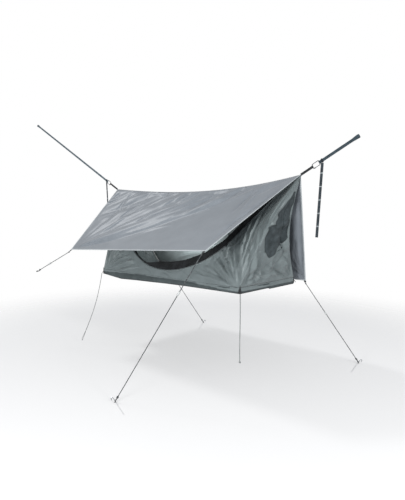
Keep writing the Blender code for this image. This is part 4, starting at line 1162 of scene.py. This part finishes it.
def makeCornerPatches():
    for sideX, hand in ((-1, "Left"), (1, "Right")):
        for sideY, end in ((-1, "Front"), (1, "Rear")):
            mesh = clothGrid("cornerPatch" + hand + end, 2 * patch["steps"], patch["steps"],
                             lambda u, v: patchAt(sideX, sideY, u, v), patch["flat"])
            addPiece("cornerPatch" + hand + end, mesh, tabWebbing, "tent",
                     thickness=patch["thickness"])


makeCornerPatches()
print("tub sewn")


# the zip round the door and the net that is gathered along its sill

def bandAt(share, across, outward):
    edge, below = doorEdge(share)
    return edge + below * np.asarray(across)[..., None] + frontOut * np.asarray(outward)[..., None]


zipLook = {"width": 0.014, "thickness": 0.0012, "out": 0.001, "coil": 0.0019, "coilOut": 0.0009,
           "lump": 0.16, "stations": 360, "sides": 8, "tapeCells": (200, 2), "tapeFlat": (4.0, 0.014)}


def makeZip():
    out = tent["cloth"] / 2 + tent["gap"] + zipLook["out"]
    start, run = door["zipEnd"], 1 - 2 * door["zipEnd"]
    mesh = clothGrid("tapes", *zipLook["tapeCells"], lambda u, v: bandAt(
        start + run * u, zipLook["width"] * v, out + 0 * u), zipLook["tapeFlat"])
    addPiece("zipTapes", mesh, wallCloth, "tent", "door_zip", zipLook["thickness"])
    share = np.linspace(door["zipEnd"], 1 - door["zipEnd"], zipLook["stations"] + 1)
    middle = bandAt(share, share * 0 + zipLook["width"] / 2, share * 0 + out + zipLook["coilOut"])
    # the coil is drawn as a lumpy bead, two teeth to a lump
    size = zipLook["coil"] * (1 + zipLook["lump"] * np.cos(np.arange(len(share)) * pi))
    addTube("zipCoil", middle, size, zipLook["sides"], zipPlastic, "tent")


makeZip()

netRoll = {"depth": 0.05, "lump": 0.010, "lumps": 11, "start": 0.10, "end": 0.96, "endSize": 0.25,
           "taper": 0.107, "sides": 72, "stations": 420, "foot": 0.045, "clear": 0.0006, "least": 0.0018,
           "fullness": 0.88, "firmness": 0.25,
           # pleats that run along the heap and gathers across it, coarse and fine: their number and depth
           "pleats": ((13, 0.11), (21, 0.05)), "gathers": ((62, 0.05), (97, 0.03)),
           # how the pleats wander along it: depth, waves and phase
           "wander": ((0.8, 9, 1.3), (0.5, 23, 0.4), (0.3, 51, 0.0)),
           # the angle along the sill, and how far the heap stands above the door's edge there. Up the
           # right-hand run it stands high, so that the near-black net also fills the band under the awning's
           # edge, standing in there as painted shade
           "crestAngle": (-52, -30, -23, -18, -13, -8, 0, 8, 14, 20, 26, 34, 52),
           "crest": (.006, .007, .009, .016, .052, .090, .108, .112, .116, .114, .110, .104, .090)}


def makeNetRoll():
    # pleats of loose net that run along the door's edge, heaped thicker over the sill
    u = np.linspace(0, 1, netRoll["stations"] + 1)[:, None]
    turn = (np.arange(netRoll["sides"]) / netRoll["sides"] * 2 * pi)[None, :]
    share = netRoll["start"] * (1 - u) + netRoll["end"] * u
    shrink = netRoll["endSize"]
    taper = np.minimum(1.0, shrink + np.minimum(u, 1 - u) * (1 - shrink) / netRoll["taper"])
    lump = netRoll["lump"] * np.sin(2 * pi * netRoll["lumps"] * u + 2 * turn)
    wander = sum(deep * np.sin(waves * u + phase) for deep, waves, phase in netRoll["wander"])
    (pleats, pleatDeep), (fine, fineDeep) = netRoll["pleats"]
    swell = netRoll["fullness"] + pleatDeep * np.sin(pleats * turn + 3.0 * wander) \
        + fineDeep * np.sin(fine * turn - 5.0 * wander + 40 * u)
    (gathers, gatherDeep), (fine, fineDeep) = netRoll["gathers"]
    swell = swell + gatherDeep * np.sin(2 * pi * gathers * u + 2.0 * np.sin(3 * turn)) \
        + fineDeep * np.sin(2 * pi * fine * u + turn)
    angle = np.degrees((share - 0.5) * doorLength / door["radius"])
    crest = np.interp(angle, netRoll["crestAngle"], netRoll["crest"]) * taper
    foot = np.minimum(netRoll["foot"], crest * 0.9 + 0.004) * taper
    wide = (crest + foot) / 2 * (1 + netRoll["firmness"] * (swell - 1))
    thick = (netRoll["depth"] / 2 + lump / 2) * taper
    inward = tent["cloth"] / 2 + tent["gap"] + netRoll["clear"] + thick * 0.96 + thick * swell * np.sin(turn)
    rings = bandAt(np.broadcast_to(share, wide.shape), (foot - crest) / 2 + wide * np.cos(turn),
                   -np.maximum(inward, netRoll["least"]))
    addPiece("doorNet", sweepMesh("doorNet", rings), shadedHeapNet, "tent", "door_net")


makeNetRoll()
print("door fitted")


# cords: each follows the same route as its solid

cordLook = {"guy": 0.008, "knotRadius": 0.0062, "pegLoop": 0.011, "pegLoopHeight": 0.019, "endEye": 0.016,
            "opening": 20.6, "tabWidth": 0.026, "tabLength": 0.034, "tabThickness": 0.003,
            "cornerCord": 0.010, "cornerLength": 0.655, "loopCord": 0.0045, "loopSpacing": 0.0065,
            "loopEye": 0.020, "loopBow": 0.035, "eyeShare": 0.93, "spreadShare": 0.90, "tipShare": 1.8,
            "sides": 14, "loopSides": 10, "loopEnd": np.array([-1.246, -0.788, 0.004]), "tabSplay": 0.55,
            # steps along a guy and round its loop, and where its two strands part, in thicknesses
            "steps": 60, "loopSteps": 24, "parting": (0.6, 1.4, 2.0),
            # the hanging cord's end, in thicknesses, and how it sways
            "endLength": 1.9, "sway": 0.0016, "swayWaves": 9.0, "cordSteps": 60}
guyEnds = {"front_right": (0.574, -1.551, 0.0), "front_left": (-1.700, -1.130, 0.941),
           "rear_right": (1.741, 0.899, 0.0), "rear_left": (-0.781, 1.065, 0.0)}
# each knot: how far it is past its place, how much further out it lies, its cord, its turns and its length
knots = {"guyUpper": (0.003, 0.0, 0.0021, 3, 0.011), "guyLower": (0.012, 0.0012, 0.0026, 4, 0.020),
         "corner": (-0.009, -0.001, 0.0032, 2, 0.010)}
upward = np.array([0.0, 0.0, 1.0])


def plainFlyAt(side, u, v):
    # corners of the plain solids of the fly, which carry the tabs
    cover = tent["cover" + side.capitalize()] / tent[side + "HemReach"]
    return blendRows(ridgeAt(u), hemAt(side, u), cover + (1 - cover) * v)


def guyRoute(name):
    side, hand = name.split("_")
    u = 0.0 if hand == "left" else 1.0
    corner, inner = plainFlyAt(side, u, 1.0), plainFlyAt(side, u, 0.9)
    hem = unit(plainFlyAt(side, 1.0, 1.0) - plainFlyAt(side, 0.0, 1.0))
    slope = corner - inner
    outward = unit(slope - hem * (slope @ hem))
    root = corner + outward * tent["gap"] + hem * (cordLook["tabWidth"] / 2 * (1 if hand == "left" else -1))
    pivot = root + outward * (cordLook["tabLength"] + cordLook["knotRadius"] + tent["gap"])
    pegged = name != "front_left"
    radius = cordLook["pegLoop" if pegged else "endEye"]
    end = np.array(guyEnds[name]) + upward * (cordLook["pegLoopHeight"] if pegged else 0.0)
    along = unit(end - pivot)
    aside = unit(np.cross(along, upward))
    diameter = cordLook["guy"]
    straight = np.linalg.norm(end - pivot) - 2 * radius - 3 * diameter
    steps, loopSteps = cordLook["steps"], cordLook["loopSteps"]
    points = [pivot + along * (straight * step / steps - cordLook["knotRadius"] * 0.85 * (step == 0))
              for step in range(steps + 1)]
    points += [pivot + along * (straight + diameter * share) for share in cordLook["parting"]]
    ring = radius + diameter / 2
    for step in range(loopSteps + 1):
        angle = (pi - radians(cordLook["opening"])) * (1 - 2 * step / loopSteps)
        points.append(end + along * (ring * cos(angle)) + aside * (ring * sin(angle)))
    return np.array(points), pivot, along, straight


def wrapKnot(name, kind, place, along, radius, surface, body):
    # a few turns of cord laid round the rope
    past, further, cord, turns, length = knots[kind]
    centre = place + along * past
    steps = int(turns * 16)
    aside = unit(np.cross(along, [0.3, 0.5, 0.8]))
    other = np.cross(along, aside)
    points = []
    for step in range(steps + 1):
        angle = 2 * pi * turns * step / steps
        points.append(centre + along * (length * (step / steps - 0.5))
                      + (radius + further + cord * 0.8) * (aside * cos(angle) + other * sin(angle)))
    return addTube(name, points, cord, 8, surface, body)


def makeGuys():
    for name in guyEnds:
        points, pivot, along, straight = guyRoute(name)
        body = "front_fly" if name == "front_left" else "guy_" + name
        label = name.title().replace("_", "")
        radius = cordLook["guy"] / 2
        rope = addTube("guyRope" + label, points, radius, cordLook["sides"], guyBraid, body,
                       "guy_rope_" + name)
        upper = wrapKnot("guyKnotUpper" + label, "guyUpper", pivot, along, radius, guyBraid, body)
        lower = wrapKnot("guyKnotLower" + label, "guyLower", pivot + along * straight, along, radius,
                         guyBraid, body)


def floorTabTip(sideX, sideY):
    outward = unit(np.array([sideX * cordLook["tabSplay"], sideY * cordLook["tabSplay"], -1.0]))
    corner = np.array([sideX * tent["floorHalfLength"], sideY * tent["floorHalfWidth"],
                       tent["floorHeight"] + tent["tubHeight"] / 2])
    normal = np.array([sideX, sideY, 0.0])
    root = corner + unit(normal) * (tent["gap"] + cordLook["tabThickness"] / 2)
    thick = unit(normal - outward * (normal @ outward))
    return root + outward * cordLook["tabLength"] - thick * (cordLook["tabThickness"] / 2)


def makeHangingCord():
    # it hangs plumb, swayed a little, with a knot at its end
    start = floorTabTip(1, -1) - upward * tent["gap"]
    diameter = cordLook["cornerCord"]
    total = cordLook["cornerLength"] + diameter * cordLook["endLength"]
    fall = np.linspace(0.0, total, cordLook["cordSteps"])
    sway = cordLook["sway"] * np.sin(fall * cordLook["swayWaves"])
    points = start + np.stack([sway, sway * 0.4, -fall], axis=1)
    rope = addTube("cornerCordFrontRight", points, diameter / 2, cordLook["sides"], lightBraid, "tent",
                   "corner_cord_front_right")
    knot = wrapKnot("cornerKnotFrontRight", "corner", start - upward * total, -upward, diameter / 2,
                    lightBraid, "tent")


def makeLoopCord():
    # doubled, with its two strands spread to an eye at the far end
    diameter, eye = cordLook["loopCord"], cordLook["loopEye"]
    top = floorTabTip(-1, -1) - upward * (tent["gap"] + diameter / 8)
    run = cordLook["loopEnd"] - top
    level = unit(run * (1.0, 1.0, 0.0))
    aside = np.array([-level[1], level[0], 0.0])
    out, back = [], []
    for share in np.arange(41) / 40:
        middle = top + run * (share * cordLook["eyeShare"]) - level * (cordLook["loopBow"] * sin(pi * share))
        spread = max(0.0, (share - cordLook["spreadShare"]) / (1 - cordLook["spreadShare"]))
        apart = cordLook["loopSpacing"] / 2 * (1 - spread) + eye * spread
        out.append(middle + aside * apart)
        back.append(middle - aside * apart)
    centre = top + run * cordLook["eyeShare"]
    way = unit(run) * cordLook["tipShare"]
    tip = [centre + aside * (eye * cos(angle)) + way * (eye * sin(angle))
           for angle in pi * np.arange(1, 20) / 20]
    points = np.array(out + tip + back[::-1])
    loop = addTube("cornerCordFrontLeft", points, diameter / 2, cordLook["loopSides"], loopBraid, "tent",
                   "corner_cord_front_left")


makeGuys()
makeHangingCord()
makeLoopCord()
print("cords tied")


# the CAD pieces that stay: their finish, and rounded shading where they are turned or bent

def dressNode(name, surface, rounded=True):
    node = cadNodes[name]
    node.data.materials.clear()
    node.data.materials.append(surface)
    if rounded:
        node.data.shade_smooth()
        node.modifiers.new("weld", "WELD").merge_threshold = 0.00002
        node.modifiers.new("sharp", "EDGE_SPLIT").split_angle = radians(32)


# the two tree straps are one webbing: the left one is painted lighter and the right one darker, as painted
# light and shade
strapLitAndShadedTones = {"right": ("232F36", "3A4850"), "left": ("4A585F", "64727A")}
tackPitch = 0.0625


def dressNodes():
    for side, name in ((1, "right"), (-1, "left")):
        apex = (side * tent["ridgeHalf"] - treePoint[0], 0.0, tent["ridgeHeight"] - treePoint[2])
        turn = (0.0, -side * strapRise, 0.0)
        strap = webbing("strap_webbing_" + name, *strapLitAndShadedTones[name], apex, turn)
        tail = webbing("tail_webbing_" + name, "20262A", "363F45", apex, (0.0, pi / 2, 0.0), tackPitch)
        loop = webbing("loop_webbing_" + name, "17191B", "2A2D2F", apex, turn)
        dressNode("tree_strap_" + name, strap)
        dressNode("strap_tail_" + name, tail, rounded=False)
        dressNode("ridge_loop_" + name, loop)
        dressNode("carabiner_" + name, satinAlloy)
        dressNode("carabiner_gate_" + name, satinAlloy)
        dressNode("gate_pin_" + name, zincSteel)
        dressNode("strap_buckle_" + name, satinAlloy, rounded=False)
    for corner in guyEnds:
        dressNode("fly_tab_" + corner, tabWebbing, rounded=False)
        dressNode("floor_tab_" + corner, tabWebbing, rounded=False)
        dressNode("line_runner_" + corner, runnerPlastic)
        if corner != "front_left":
            dressNode("peg_" + corner, zincSteel)
    dressNode("ridge_line", ridgeBraid)
    dressNode("zip_slider", zipPlastic)
    dressNode("zip_pull", satinAlloy, rounded=False)


dressNodes()
print("CAD pieces dressed")
